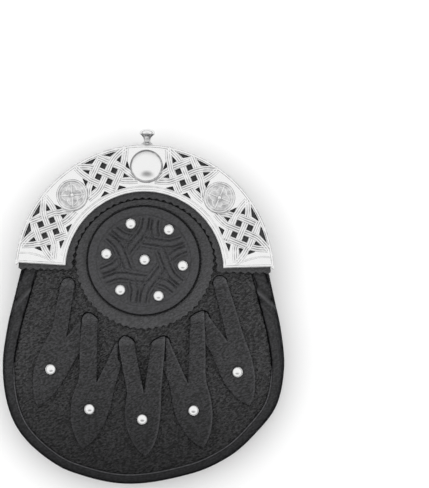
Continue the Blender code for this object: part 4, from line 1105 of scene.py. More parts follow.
def slit_hole(leg):
    """Slit in the front wall where a leg comes out, or two of them."""
    if leg.way == "over":
        return divided(by_slit(leg, LEFT_SLIT if leg.start.x < 0.0 else PAIR_SLIT), SLIT_SPACING)
    half_width = SINGLE_LEG_HALF_WIDTH + 0.2 * MM
    hole = []
    for step in range(25):
        angle = math.pi * step / 24.0
        down = ARCH_LENGTH - (ARCH_LENGTH + 0.4 * MM) * math.sin(angle)
        hole.append(leg.start + leg.along * down + leg.right * math.cos(angle) * half_width)
    return divided(hole, SLIT_SPACING)


class SPORRAN_OT_front_panel(bpy.types.Operator):
    """Front wall of pebbled leather with six arch-topped slits"""

    bl_idname = "sporran.front_panel"
    bl_label = "Front Panel"

    def execute(self, context):
        sizes = context.scene.sporran_leather
        outline = inset_body(420, lambda y: band_width(y) + GAP)
        edge = nearest(outline)

        def sink(x, y):
            far = edge.find((x, y, 0.0))[2]
            depth = sizes.crevice_depth * (0.3 + 0.7 * blend(y, -66.0 * MM, -34.0 * MM))
            return -depth * (1.0 - blend(far, 0.0, sizes.crevice_width)) ** 1.5

        legs = [leg_of(leaf, side) for leaf in LEAVES for side in (-1.0, 1.0)]
        holes = [slit_hole(leg) for leg in legs if leg.way != "under"]
        body = sheet(outline, holes, thickness=FRONT_WALL, edge=0.5 * MM, spacing=WALL_SPACING)
        laid(body, on_front(lambda x, y: sink(x, y) - FRONT_WALL))
        finished("front_panel_leather", body, "pebbled cowhide", ["front_panel"])
        return {"FINISHED"}


def fold_dent(point, share):
    """Depth of the folds at a station of the band; share runs from 0 at the outline to 1 at the seam."""
    dent = 0.0
    for side, seam_height, outline_height, half_width, depth in BAND_FOLDS:
        line = (outline_height + (seam_height - outline_height) * share) * MM
        distance = (point.y - line) / (half_width * MM)
        if side * point.x > 0.0 and abs(distance) < 4.0:
            dent += depth * MM * math.exp(-distance * distance)
    return dent


def gusset_section(point, normal):
    """Wall section of the gusset: its outer face from the front seam to the back, then its inner face."""
    width = band_width(point.y)
    seam = point + normal * width
    front = front_z(seam.x, seam.y)
    back = back_z(point.x, point.y)
    tuck = BAND_TUCK * blend(point.y, BAND_TUCK_FROM, BAND_TUCK_TO)
    # share of the band's width from the outline, and height over the front wall
    full = blend(point.y, -14.0 * MM, 26.0 * MM) * MM
    rows = (
        (1.0, -FRONT_WALL), (0.985, -0.9 * MM), (0.94, 0.1 * MM), (0.83, 0.65 * MM), (0.66, BAND_CROWN),
        (0.46, 0.5 * MM + 0.2 * full), (0.3, -0.6 * MM + 0.8 * full),
        (0.15, -2.6 * MM + 1.4 * full), (0.06, -5.0 * MM + 1.4 * full),
    )
    path = []
    for place in smooth_curve([Vector((share * width, rise)) for share, rise in rows], 4):
        share = place.x / width
        rise = front + place.y - tuck - fold_dent(point, share) * blend(share, 0.0, 0.12)
        path.append(Vector((place.x, rise if place.y > -1.0 * MM else front + place.y)))
    # the outer face goes on down and in under the back wall
    tail = (
        path.pop(), (0.0, (front + back) * 0.5), (0.3 * MM, back + 8.0 * MM), (0.8 * MM, back + 5.6 * MM),
        (1.9 * MM, back + 3.6 * MM), (BACK_INSET + 0.6 * MM, back + BACK_WALL + 0.6 * MM),
        (9.0 * MM, back + BACK_WALL + GAP),
    )
    path.extend(smooth_curve([Vector(place) for place in tail], 3))
    inner = []
    for index in range(0, len(path), 3):
        along = (path[min(index + 3, len(path) - 1)] - path[max(index - 3, 0)]).normalized()
        inner.append(path[index] + left_of(along) * GUSSET_WALL)
    return [(*(point + normal * inset), height) for inset, height in [*path, *reversed(inner)]]


class SPORRAN_OT_gusset(bpy.types.Operator):
    """Side wall that rolls over at the front as a smooth band, and the bead along its seam"""

    bl_idname = "sporran.gusset"
    bl_label = "Gusset"

    def execute(self, context):
        sizes = context.scene.sporran_leather
        loop = body_loop(720)
        normals = inward(loop)
        covered = [index for index, point in enumerate(loop) if point.y < MOUTH_HEIGHT]
        # the stations lie closer where the folds are
        stations = [
            index for count, index in enumerate(covered) if count % 2 == 0 or abs(loop[index].y) < 26.0 * MM
        ]
        body = lofted([gusset_section(loop[index], normals[index]) for index in stations])
        edge = nearest(loop)

        def fold(place, shift=0.0):
            """Depth (mm) of the folds at a place, or a little above it."""
            spot, index, far = edge.find((place.x, place.y + shift, 0.0))
            return fold_dent(loop[index], min(1.0, far / band_width(spot.y))) / MM

        def lit(place):
            """Painted highlight on the upper slopes of the folds."""
            return 0.3 * max(0.0, fold(place, 0.5 * MM) - fold(place, -0.5 * MM))

        # painted shade in the fold valleys
        marked(body, "painted_shade_and_tone", lambda place: 0.5 * max(0.0, fold(place)))
        marked(body, "painted_highlight", lit)
        finished("gusset_leather", body, "smooth rolled cowhide", ["gusset"], smooth=60.0)
        bead = []
        for index in covered:
            point = loop[index]
            if point.y < BEAD_TOP:
                place = point + normals[index] * (band_width(point.y) - 0.25 * MM)
                sunk = 1.3 * MM * blend(point.y, -56.0 * MM, BEAD_TOP - 1.0 * MM)
                bead.append((place.x, place.y, -0.45 * MM - sunk))
        shape = ribbon(sizes.bead_width, sizes.bead_rise, sizes.bead_rise * 0.6)
        trim = grown("ribbon", [bead], "burnished bead with painted highlight", shape)
        laid(trim, on_front(0.0))
        finished("front_seam_bead", trim, "burnished bead with painted highlight", smooth=60.0)
        return {"FINISHED"}


class SPORRAN_OT_back_panel(bpy.types.Operator):
    """Back wall of pebbled leather with its stitched border"""

    bl_idname = "sporran.back_panel"
    bl_label = "Back Panel"

    def execute(self, context):
        sizes = context.scene.sporran_leather
        outline = inset_body(360, lambda y: BACK_INSET)
        edge = nearest(outline)

        def depth_in(x, y):
            """Distance (mm) from the edge."""
            return edge.find((x, y, 0.0))[2] / MM

        def border(x, y):
            """Rolled border, stitch groove and the raised edge of the field."""
            far = depth_in(x, y)
            rise = 0.5 * hump(far, 2.4, 1.6) - 0.8 * hump(far, BACK_SEAM, 1.1)
            rise += 0.4 * hump(far, BACK_LIP, 0.8)
            return (rise - 0.5) * MM * blend(far, 0.0, 0.6)

        def painted_light(place):
            """Painted highlight on the roll and on the raised edge of the field."""
            far = depth_in(place.x, place.y)
            return 0.34 * hump(far, 2.2, 1.8) + 0.3 * hump(far, BACK_LIP, 0.7)

        def painted_shade(place):
            """Painted shade in the stitch groove."""
            return 0.8 * hump(depth_in(place.x, place.y), BACK_SEAM, 1.0)

        rings = [0.7 * MM * step for step in range(1, 14)]
        body = sheet(
            outline, thickness=BACK_WALL, edge=0.5 * MM, spacing=WALL_SPACING, relief=border, border=rings,
        )
        marked(body, "painted_highlight", painted_light)
        marked(body, "painted_shade_and_tone", painted_shade)
        laid(body, lambda x, y, height: Vector((x, y, back_z(x, y) + BACK_WALL - height)))
        finished("back_panel_leather", body, "tumbled cowhide", ["back_panel"])
        line = inset_body(300, lambda y: BACK_INSET + BACK_SEAM * MM)
        shape = stitches(sizes.stitch_pitch, sizes.stitch_length, sizes.thread, STITCH_LEAN)
        row = grown("stitches", [line], THREAD, shape, closed=True)
        laid(row, lambda x, y, height: Vector((x, y, back_z(x, y) + 0.75 * MM + height)))
        finished("back_panel_stitches", row, THREAD)
        return {"FINISHED"}


# Back


class SPORRAN_OT_back_patch(bpy.types.Operator):
    """Home-plate patch sewn to the back"""

    bl_idname = "sporran.back_patch"
    bl_label = "Back Patch"

    def execute(self, context):
        sizes = context.scene.sporran_leather
        shoulder = PATCH_ROWS[4][0] * MM
        half_width = PATCH_ROWS[4][1] * MM
        seam = shoulder / MM + 0.8

        def edge_distance(x, y):
            """Distance (mm) from the slanting edges of the patch's point."""
            return ((half_width - abs(x)) * 0.793 - (shoulder - y) * 0.609) / MM

        def tuck(x, y):
            """1 in the strip at the head of the patch, which lies lower than the rest."""
            return blend(y, 51.2 * MM, 52.2 * MM) * blend(abs(x), 21.9 * MM, 21.1 * MM)

        def relief(x, y):
            """Raised border of the point, the seam across above it and the low strip at the head."""
            far = edge_distance(x, y)
            welt = 0.3 * hump(far, 0.9, 0.6) - 0.4 * hump(far, 2.4, 0.6)
            welt *= blend(y, shoulder, shoulder - 1.0 * MM)
            return (welt - 0.45 * hump(y / MM, seam, 0.7) - 0.45 * tuck(x, y)) * MM

        def painted_light(place):
            """Painted highlight on the raised border of the point and on the upright edges above it, and a
            faint one over the rest of the point.
            """
            if place.y > shoulder:
                return 0.35 * hump(abs(place.x) / MM, 22.6, 0.5) * blend(place.y, 30.0 * MM, 44.0 * MM)
            return 0.7 * hump(edge_distance(place.x, place.y), 0.8, 0.6) + 0.07

        def painted_shade(place):
            """Painted shade in the grooves of the seams and on the low strip."""
            welt = 0.6 * hump(edge_distance(place.x, place.y), 2.4, 0.5) if place.y < shoulder else 0.0
            return welt + 0.8 * hump(place.y / MM, seam, 0.6) + 0.4 * tuck(place.x, place.y)

        right = [Vector((half * MM, height * MM)) for height, half in PATCH_ROWS]
        outline = divided([*(Vector((-point.x, point.y)) for point in right), *reversed(right)], 1.4 * MM)
        body = sheet(outline, thickness=PATCH_THICKNESS, edge=0.5 * MM, spacing=0.6 * MM, relief=relief)
        marked(body, "painted_highlight", painted_light)
        marked(body, "painted_shade_and_tone", painted_shade)
        laid(body, under_back(GAP))
        finished("back_patch_leather", body, "tumbled cowhide", ["back_patch"])
        left, right = (Vector((side * 23.4 * MM, shoulder - 1.6 * MM)) for side in (-1.0, 1.0))
        point = [left, Vector((0.0, PATCH_ROWS[5][0] * MM + 3.4 * MM)), right]
        across = [Vector((side * 24.5 * MM, shoulder + 0.8 * MM)) for side in (-1.0, 1.0)]
        row = grown("stitches", [point, across], THREAD, stitches(2.4 * MM, 1.8 * MM, sizes.thread * 0.8))
        laid(row, under_back(GAP + PATCH_THICKNESS - 0.1 * MM))
        finished("back_patch_stitches", row, THREAD)
        return {"FINISHED"}


class SPORRAN_OT_closure_strap(bpy.types.Operator):
    """Strap over the mouth with its press-stud cap"""

    bl_idname = "sporran.closure_strap"
    bl_label = "Closure Strap"

    def execute(self, context):
        rows = smooth_curve([Vector(row) * MM for row in STRAP_ROWS], 6)
        sections = []
        for index, row in enumerate(rows):
            along = (rows[min(index + 1, len(rows) - 1)].xy - rows[max(index - 1, 0)].xy).normalized()
            edge = min(0.7 * MM, row.z * 0.5)
            ring = []
            for step in range(20):
                angle = 2.0 * math.pi * (step + 0.5) / 20.0
                cosine = math.cos(angle)
                sine = math.sin(angle)
                x = math.copysign(row.z - edge, cosine) + cosine * edge
                away = STRAP_THICKNESS / 2.0 * math.copysign(min(1.0, abs(sine) * 1.6), sine)
                ring.append((x, *(row.xy + left_of(along) * away)))
            sections.append(ring)
        body = lofted(sections)
        finished("closure_strap_leather", body, "matt strap leather", ["closure_strap"])
        profile = [
            (0.0, SNAP_HEIGHT), (SNAP_RADIUS * 0.93, SNAP_HEIGHT), (SNAP_RADIUS, SNAP_HEIGHT - 0.45 * MM),
        ]
        profile.extend((SNAP_RADIUS * share, SNAP_HEIGHT * (1.0 - fall)) for share, fall in SNAP_ROWS)
        foot = 0.28 * SNAP_HEIGHT
        for step in range(1, 8):
            angle = math.pi / 2.0 * step / 8.0
            profile.append((SNAP_RADIUS * 0.82 * math.cos(angle), foot * (1.0 - math.sin(angle))))
        cap = turned([*profile, (0.0, 0.0)], 48)
        laid(cap, lambda x, y, height: Vector((SNAP_CENTRE.x + x, SNAP_CENTRE.y + y, height)))
        finished("snap_cap_metal", cap, "dark nickel", ["snap_cap"], smooth=50.0)
        return {"FINISHED"}


def loop_outline():
    """Section of a ring loop about its D-ring's bar: across, up."""
    outer_radius = RING_WIRE_RADIUS + GAP + LOOP_WALL
    top = BACK_LIFT - GAP - RING_HINGE_Z
    reach = RING_HINGE_X - LOOP_TAIL_END
    angles = [math.radians(80.0) + math.radians(255.0) * step / 30.0 for step in range(31)]
    outline = [heading(angle) * outer_radius for angle in angles]
    return [*outline, Vector((reach, top - 2.0 * LOOP_WALL)), Vector((reach, top))]


def ring_sections(side):
    """Rings of points round the wire of a D-ring in its place at rest."""
    path = []
    for step in range(7):
        angle = math.pi / 12.0 * step
        x = -RING_CORNER + RING_CORNER * math.cos(angle)
        path.append(Vector((x, RING_HALF_HEIGHT - RING_CORNER + RING_CORNER * math.sin(angle))))
    for step in range(1, 36):
        angle = math.pi / 36.0 * step
        x = -RING_CORNER - (RING_DEPTH - RING_CORNER) * math.sin(angle)
        path.append(Vector((x, RING_HALF_HEIGHT * math.cos(angle))))
    path.extend([Vector((point.x, -point.y)) for point in reversed(path[:7])])
    half_bar = RING_HALF_HEIGHT - RING_CORNER
    path.extend(Vector((0.0, -half_bar + 2.0 * half_bar * step / 8.0)) for step in range(1, 8))
    fall = -math.asin((RING_HINGE_Z - RING_WIRE_RADIUS) / RING_DEPTH)
    turn = Matrix.Rotation(0.0 if side < 0.0 else math.pi, 3, "Z") @ Matrix.Rotation(fall, 3, "Y")
    hinge = Vector((side * RING_HINGE_X, RING_HINGE_HEIGHT, RING_HINGE_Z))
    sections = []
    for point, normal in zip(path, inward(path)):
        section = []
        for step in range(14):
            angle = 2.0 * math.pi * (step + 0.5) / 14.0
            spot = point + normal * math.cos(angle) * RING_WIRE_RADIUS
            section.append(hinge + turn @ Vector((*spot, math.sin(angle) * RING_WIRE_RADIUS)))
        sections.append(section)
    return sections


class SPORRAN_OT_rings(bpy.types.Operator):
    """D-rings of nickel wire in folded leather loops"""

    bl_idname = "sporran.rings"
    bl_label = "Rings and Loops"

    def execute(self, context):
        for side, name in ((-1.0, "left"), (1.0, "right")):
            wire = lofted(ring_sections(side), closed=True)
            finished(
                f"d_ring_{name}_wire", wire, "dark nickel", [f"d_ring_{name}"],
                carrier=f"ring_{name}", smooth=60.0,
            )
            hole = circle(Vector((0.0, 0.0)), RING_WIRE_RADIUS + GAP, 32)
            outline = divided(loop_outline(), 0.8 * MM)
            body = sheet(outline, [hole], thickness=2.0 * LOOP_HALF_LENGTH, edge=0.25 * MM, spacing=0.8 * MM)

            def place(x, y, length, side=side):
                across = side * RING_HINGE_X - side * x
                return Vector((across, RING_HINGE_HEIGHT + LOOP_HALF_LENGTH - length, RING_HINGE_Z + y))

            laid(body, place)
            finished(
                f"ring_loop_{name}_leather", body, "matt strap leather",
                [f"ring_loop_{name}"], smooth=50.0,
            )
        return {"FINISHED"}


# Cantle


def tooth(turns):
    """Height of a pointed tooth, 0 to 1, after this many teeth."""
    return 1.0 - abs(2.0 * (turns % 1.0) - 1.0)


class SPORRAN_OT_cantle_backing(bpy.types.Operator):
    """Leather under the cantle with a pinked edge"""

    bl_idname = "sporran.cantle_backing"
    bl_label = "Cantle Backing"

    def execute(self, context):
        sizes = context.scene.sporran_leather
        inner_start = math.asin((BACKING_FOOT - CANTLE_INNER_CENTRE) / BACKING_INNER_RADIUS)
        outer_start = math.asin((BACKING_FOOT - CANTLE_OUTER_CENTRE) / BACKING_OUTER_RADIUS)
        outer = arc(CANTLE_OUTER_CENTRE, BACKING_OUTER_RADIUS, outer_start, math.pi - outer_start, 120)
        inner = arc(CANTLE_INNER_CENTRE, BACKING_INNER_RADIUS, math.pi - inner_start, inner_start, 90)
        pinked = divided([outer[-1], *inner, outer[0]], 0.6 * MM, closed=False)
        lengths = [0.0]
        for start, end in zip(pinked, pinked[1:]):
            lengths.append(lengths[-1] + (end - start).length)
        pitch = lengths[-1] / round(lengths[-1] / sizes.pinking_pitch)
        teeth = []
        for index, point in enumerate(pinked):
            along = (pinked[min(index + 1, len(pinked) - 1)] - pinked[max(index - 1, 0)]).normalized()
            teeth.append(point - left_of(along) * sizes.pinking_depth * tooth(lengths[index] / pitch))
        body = sheet([*outer[1:-1], *teeth], thickness=BACKING_THICKNESS, edge=0.4 * MM, spacing=1.8 * MM)
        # a darker tone over the whole backing
        marked(body, "painted_shade_and_tone", lambda place: 0.14)
        laid(body, on_front(GAP))
        finished(
            "cantle_backing_leather", body, "pinked patch leather", ["cantle_backing"],
        )
        return {"FINISHED"}


def panel_place(angle):
    """Middle of a panel or medallion on the arch."""
    return Vector((0.0, CANTLE_MID_CENTRE)) + heading(math.radians(angle)) * CANTLE_MID_RADIUS


def panel_holes(angle):
    """Holes of one panel in their place on the arch."""
    shapes = []
    for out, along in SQUARE_HOLES:
        reach = SQUARE_HOLE_HALF_DIAGONAL
        corners = ((reach, 0.0), (0.0, reach), (-reach, 0.0), (0.0, -reach))
        shapes.append([(out + right, along + up) for right, up in corners])
    for hole in EDGE_HOLES:
        shapes.append(list(hole))
        shapes.append([(out, -along) for out, along in hole])
    centre = panel_place(angle)
    turn = Matrix.Rotation(math.radians(angle), 2)
    return [
        divided([centre + turn @ (Vector(corner) * MM) for corner in shape], 1.1 * MM) for shape in shapes
    ]


def cantle_outline(inset):
    """Outline of the cantle moved inwards, from its right foot over the crown."""
    outer_radius = CANTLE_OUTER_RADIUS - inset
    inner_radius = CANTLE_INNER_RADIUS + inset
    outer_start = math.asin((CANTLE_FOOT_OUTER + inset - CANTLE_OUTER_CENTRE) / outer_radius)
    inner_start = math.asin((CANTLE_FOOT_INNER + inset - CANTLE_INNER_CENTRE) / inner_radius)
    outer = arc(CANTLE_OUTER_CENTRE, outer_radius, outer_start, math.pi - outer_start, 160)
    inner = arc(CANTLE_INNER_CENTRE, inner_radius, math.pi - inner_start, inner_start, 110)
    return outer, inner


class SPORRAN_OT_cantle(bpy.types.Operator):
    """Pierced arch with its rims and its four plaited panels"""

    bl_idname = "sporran.cantle"
    bl_label = "Cantle"

    def execute(self, context):
        sizes = context.scene.sporran_metal
        outer, inner = cantle_outline(0.0)
        left = [outer[-1] + Vector((0.3 * MM, -CANTLE_TIP)), outer[-1] + Vector((2.6 * MM, -0.1 * MM))]
        right = [Vector((-point.x, point.y)) for point in reversed(left)]
        outline = divided([*outer, *left, *inner, *right], 1.6 * MM)
        holes = [hole for angle in PANEL_ANGLES for hole in panel_holes(angle)]
        plate = sheet(outline, holes, thickness=CANTLE_PLATE, edge=0.2 * MM, spacing=1.5 * MM, steps=2)
        laid(plate, on_front(PLATE_FOOT))
        finished("cantle_plate", plate, CHROME, ["cantle"], smooth=35.0)

        rims = bmesh.new()
        rim_outer, rim_inner = cantle_outline(sizes.rim_width / 2.0 + 0.1 * MM)
        rim = divided([*rim_outer, *rim_inner], 1.5 * MM)
        shape = ribbon(sizes.rim_width, sizes.rim_rise + RIM_BURIED, RIM_GROOVE)
        grown("ribbon", [rim], CHROME, shape, closed=True, body=rims)
        # the double line that follows the inner edge, and the one at each foot
        lines = [cantle_outline(inset * MM)[1][2:-2] for inset in (2.9, 3.6)]
        for side, angle in ((1.0, PANEL_ANGLES[0]), (-1.0, PANEL_ANGLES[3])):
            turn = Matrix.Rotation(math.radians(angle), 2)
            for shift in (0.0, 0.8):
                bow = [Vector((out, (along - shift) * side)) * MM for out, along in FOOT_LINE]
                lines.append([panel_place(angle) + turn @ point for point in smooth_curve(bow, 6)])
        grown("ribbon", lines, CHROME, ribbon(0.5 * MM, 0.5 * MM, RIM_GROOVE), body=rims)
        laid(rims, on_front(PLATE_TOP - RIM_BURIED))
        foot = math.asin((CANTLE_FOOT_OUTER + 1.5 * MM - CANTLE_OUTER_CENTRE) / CANTLE_OUTER_RADIUS)
        line = arc(CANTLE_OUTER_CENTRE, CANTLE_OUTER_RADIUS - 0.75 * MM, foot, math.pi - foot, 160)
        flange = grown("ribbon", [line], CHROME, ribbon(1.5 * MM, CANTLE_FLANGE + 0.4 * MM))
        laid(flange, on_front(PLATE_FOOT - CANTLE_FLANGE))
        finished("cantle_flange", flange, CHROME, smooth=50.0)
        finished("cantle_rims", rims, CHROME, smooth=60.0)

        paths = []
        for mirror in (1.0, -1.0):
            for band in PLAIT_BANDS:
                knots = [
                    Vector((out, along * mirror, PLAIT_WEAVE * way * mirror)) * MM for out, along, way in band
                ]
                paths.append(smooth_curve(knots, 8))
        plait = grown("ribbon", paths, CHROME, {
            **ribbon(sizes.plait_width, sizes.plait_height, sizes.plait_groove, 3.0, 40),
            "Copies": len(PANEL_ANGLES),
            "Arch Radius": CANTLE_MID_RADIUS,
            "Arch Centre": CANTLE_MID_CENTRE,
            "First Turn": math.radians(PANEL_FIRST_TURN),
            "Turn Step": math.radians(PANEL_TURN_STEP),
        })
        laid(plait, on_front(PLATE_TOP - PLAIT_BURIED))
        finished("cantle_plait", plait, CHROME, smooth=50.0)
        return {"FINISHED"}


class SPORRAN_OT_medallions(bpy.types.Operator):
    """Two medallions with a four-armed cross over a small knot"""

    bl_idname = "sporran.medallions"
    bl_label = "Medallions"

    def execute(self, context):
        centre = Vector((0.0, 0.0))
        spokes = []
        knot = []
        for arm in range(4):
            out = heading(math.radians(90.0 * arm))
            side = left_of(out)
            spokes.append([out * 1.4 * MM, out * 7.8 * MM])
            swings = [math.pi * (step / 16.0) - math.pi / 2.0 for step in range(17)]
            knot.append([
                out * (2.6 + 3.9 * math.cos(swing)) * MM + side * 3.3 * math.sin(swing) * MM
                for swing in swings
            ])
        # lines of the relief with their width and height (mm)
        reliefs = (
            ([circle(centre, 9.3 * MM, 96)], 0.9, 0.75, True),
            ([circle(centre, 7.9 * MM, 96)], 0.55, 0.75, True),
            (spokes, 0.95, 0.95, False),
            (knot, 0.7, 0.6, False),
        )
        level = MEDALLION_THICKNESS - 0.2 * MM
        for name, angle, turn in zip(("right", "left"), MEDALLION_ANGLES, MEDALLION_TURNS):
            edge = circle(centre, MEDALLION_RADIUS, 96)
            disc = sheet(edge, thickness=MEDALLION_THICKNESS, edge=0.5 * MM, spacing=1.0 * MM)
            # painted shade over the whole disc, greying it
            marked(disc, "painted_shade_and_tone", lambda place: 0.72)
            relief = bmesh.new()
            for lines, width, height, closed in reliefs:
                shape = ribbon(width * MM, height * MM, 0.1 * MM, points=12)
                grown("ribbon", lines, CHROME, shape, closed=closed, body=relief)
            knob = turned([(radius * MM, rise * MM) for radius, rise in MEDALLION_KNOB], 32)
            for part in (relief, knob):
                laid(part, lambda x, y, height: Vector((x, y, height + level)))
                data = bpy.data.meshes.new("relief")
                part.to_mesh(data)
                disc.from_mesh(data)
                part.free()
                bpy.data.meshes.remove(data)
            laid(disc, on_front(PLATE_TOP + GAP, panel_place(angle), turn))
            replaced = f"medallion_{name}"
            finished(f"{replaced}_metal", disc, CHROME, [replaced], smooth=50.0)
        return {"FINISHED"}


class SPORRAN_OT_dome_and_finial(bpy.types.Operator):
    """Plain dome at the crown of the cantle and the turned finial above it"""

    bl_idname = "sporran.dome_and_finial"
    bl_label = "Dome and Finial"

    def execute(self, context):
        cap_radius = DOME_RADIUS - DOME_COLLAR_WIDTH
        rise = DOME_HEIGHT - DOME_COLLAR_HEIGHT
        profile = [(0.0, DOME_HEIGHT)]
        for step in range(1, 25):
            angle = math.pi / 2.0 * step / 24.0
            profile.append((cap_radius * math.sin(angle), DOME_COLLAR_HEIGHT + rise * math.cos(angle) ** 2))
        profile.extend([(DOME_RADIUS, DOME_COLLAR_HEIGHT * 0.5), (DOME_RADIUS, 0.0), (0.0, 0.0)])
        dome = turned(profile, 72)
        # painted shade: a dark ring round the edge of the dome's cap
        groove = (cap_radius - 1.4 * MM, cap_radius - 0.6 * MM)
        marked(dome, "painted_shade_and_tone", lambda place: blend(place.xy.length, *groove))
        laid(dome, on_front(PLATE_TOP + GAP, DOME_CENTRE))
        finished("cantle_dome_metal", dome, CHROME, ["cantle_dome"], smooth=50.0)
        knob = turned([(radius * MM, FINIAL_LENGTH * share) for share, radius in FINIAL_ROWS], 48)
        # painted shade on the waist and under the edge of the cap
        marked(knob, "painted_shade_and_tone", lambda place: 0.85 - 0.75 * blend(place.z / FINIAL_LENGTH, 0.6, 0.74))
        level = front_z(0.0, FINIAL_FOOT) + PLATE_FOOT
        laid(knob, lambda x, y, height: Vector((x, FINIAL_FOOT + height, level - y)))
        finished("finial_metal", knob, CHROME, ["finial"], smooth=45.0)
        return {"FINISHED"}


# Boss


def star_straps():
    """Middle lines of the six straps of the interlaced star; each joins an arm to the next but one."""
    knots = [*((out, -along) for out, along in reversed(STAR_STRAP_HALF[1:])), *STAR_STRAP_HALF]
    straps = []
    for number in range(6):
        turn = Matrix.Rotation(math.radians(BOSS_STUD_TURN + 30.0 + 60.0 * number), 2)
        straps.append(smooth_curve([turn @ Vector(knot) * MM for knot in knots], 10))
    return straps


def boss_reach(place):
    """Distance from the boss's middle, as if it were as high as it is wide."""
    out = place - BOSS_CENTRE - BOSS_SHIFT
    return Vector((out.x, out.y / BOSS_SQUASH)).length


def boss_ring(radius, count):
    """Ring round the boss, lower than it is wide."""
    ring = circle(Vector((0.0, 0.0)), radius, count)
    return [BOSS_CENTRE + BOSS_SHIFT + Vector((spot.x, spot.y * BOSS_SQUASH)) for spot in ring]


def strap_height(distance, share):
    """Height (mm) of the cord with its low edges, and depth of its pressed lines; it tapers to its ends."""
    far = distance / MM / (1.0 - 0.2 * (2.0 * share - 1.0) ** 4)
    cord = 0.45 * (1.0 - blend(far, 0.5, 2.1))
    return cord + 0.3 * hump(far, 3.2, 0.7), 0.5 * hump(far, 2.1, 0.5) + 0.4 * hump(far, 4.4, 0.5)


def boss_relief():
    """Height of the embossing over the boss's field, as a function of the place."""
    straps = star_straps()
    near = nearest([point for strap in straps for point in strap])
    owners = []
    for number, strap in enumerate(straps):
        owners.extend((number, index / (len(strap) - 1)) for index in range(len(strap)))
    inner = BOSS_FIELD_RADIUS - 0.9 * MM

    def relief(x, y):
        place = Vector((x, y)) - BOSS_CENTRE
        far = boss_reach(Vector((x, y)))
        if far > inner:
            share = (far - inner) / (BOSS_RADIUS - inner)
            crown = 0.75 + 0.25 * math.sin(math.pi * min(1.0, share))
            return 0.9 * MM * blend(far, inner, inner + 1.4 * MM) * crown
        best = {}
        for _, index, distance in near.find_range((place.x, place.y, 0.0), 5.2 * MM):
            number, share = owners[index]
            if distance < best.get(number, (1.0, 0.0))[0]:
                best[number] = (distance, share)
        height = 0.0
        pressed = 0.0
        for distance, share in best.values():
            # a strap sinks where it passes under its neighbour
            under = 1.0 - 0.85 * math.exp(-((share - 0.615) / 0.055) ** 4)
            rise, line = strap_height(distance, share)
            height += rise * under
            pressed = max(pressed, line * under)
        rings = 0.07 + 0.08 * math.cos(place.length / MM * 2.0 * math.pi / 2.4)
        centre = rings * (1.0 - blend(place.length, 7.0 * MM, 9.5 * MM))
        return (height - pressed + centre) * blend(far, inner - 0.2 * MM, inner - 1.6 * MM) * MM

    return relief


class SPORRAN_OT_boss(bpy.types.Operator):
    """Pinked round patch and the embossed boss stitched to it"""

    bl_idname = "sporran.boss"
    bl_label = "Boss"

    def execute(self, context):
        sizes = context.scene.sporran_leather
        offset = BOSS_CENTRE - Vector((0.0, CANTLE_INNER_CENTRE))
        trim_radius = BACKING_INNER_RADIUS - sizes.pinking_depth - 0.1 * MM
        outline = []
        count = round(2.0 * math.pi * BOSS_PATCH_RADIUS / sizes.pinking_pitch) * TOOTH_STEPS
        for step in range(count):
            direction = heading(2.0 * math.pi * step / count)
            reach = BOSS_PATCH_RADIUS - sizes.pinking_depth * (1.0 - tooth(step / TOOTH_STEPS))
            side = offset.dot(direction)
            trim = math.sqrt(side * side + trim_radius * trim_radius - offset.length_squared) - side
            outline.append(BOSS_CENTRE + direction * min(reach, trim))

        def welt(x, y):
            """Groove of the stitched seam round the boss."""
            return -1.1 * MM * hump(boss_reach(Vector((x, y))), BOSS_RADIUS + 0.4 * MM, 0.5 * MM)

        patch = sheet(outline, thickness=BOSS_PATCH_THICKNESS, edge=0.35 * MM, spacing=0.75 * MM, relief=welt)
        # darker towards the top of the patch
        marked(patch, "painted_shade_and_tone", lambda place: 0.16 * blend(place.y, 0.0, 40.0 * MM))
        laid(patch, on_front(GAP))
        finished("boss_patch_leather", patch, "pinked patch leather", ["boss_patch"])
        relief = boss_relief()
        ring = boss_ring(BOSS_RADIUS, 300)
        disc = sheet(ring, thickness=BOSS_FIELD_THICKNESS, edge=0.5 * MM, spacing=0.5 * MM, relief=relief)
        # painted shade in the pressed lines of the embossing
        marked(disc, "painted_shade_and_tone", lambda place: 0.38 * blend(-relief(place.x, place.y), 0.0, 0.5 * MM))
        laid(disc, on_front(BOSS_FOOT))
        finished("boss_disc_leather", disc, "embossed leather", ["boss_disc"])
        line = boss_ring(BOSS_RADIUS + 0.5 * MM, 240)
        row = grown("stitches", [line], THREAD, stitches(2.3 * MM, 2.5 * MM, 0.9 * MM), closed=True)
        laid(row, on_front(GAP + BOSS_PATCH_THICKNESS - 0.8 * MM))
        finished("boss_stitches", row, THREAD)
        return {"FINISHED"}


# Leaves


def leg_lift(leg, place):
    """Height of a leg's underside above the front wall at a place on it."""
    down = (place - leg.start).dot(leg.along) if leg.way == "alone" else leg.start.y + 0.9 * MM - place.y
    if down < ARCH_LENGTH:
        return GAP - ARCH_DIP * (1.0 - max(0.0, down) / ARCH_LENGTH) ** 1.6
    if leg.way != "over":
        return GAP
    rise = blend(down, ARCH_LENGTH, OVER_LEG_RISE)
    return GAP + (LEAF_HIGH - GAP) * rise * (1.0 - blend(down, OVER_LEG_HOLD - 6.0 * MM, OVER_LEG_FLAT))


def leg_head(leg):
    """The top end of a leg, from its right side to its left."""
    if leg.way == "over":
        return by_slit(leg, LEFT_OVER_HEAD if leg.start.x < 0.0 else OVER_HEAD)
    if leg.way == "under":
        return by_slit(leg, LEFT_UNDER_HEAD if leg.start.x < 0.0 else UNDER_HEAD)
    points = []
    for step in range(1, 20):
        angle = math.pi * step / 20.0
        down = ARCH_LENGTH * (1.0 - math.sin(angle))
        points.append(leg.start + leg.along * down + leg.right * math.cos(angle) * SINGLE_LEG_HALF_WIDTH)
    return points


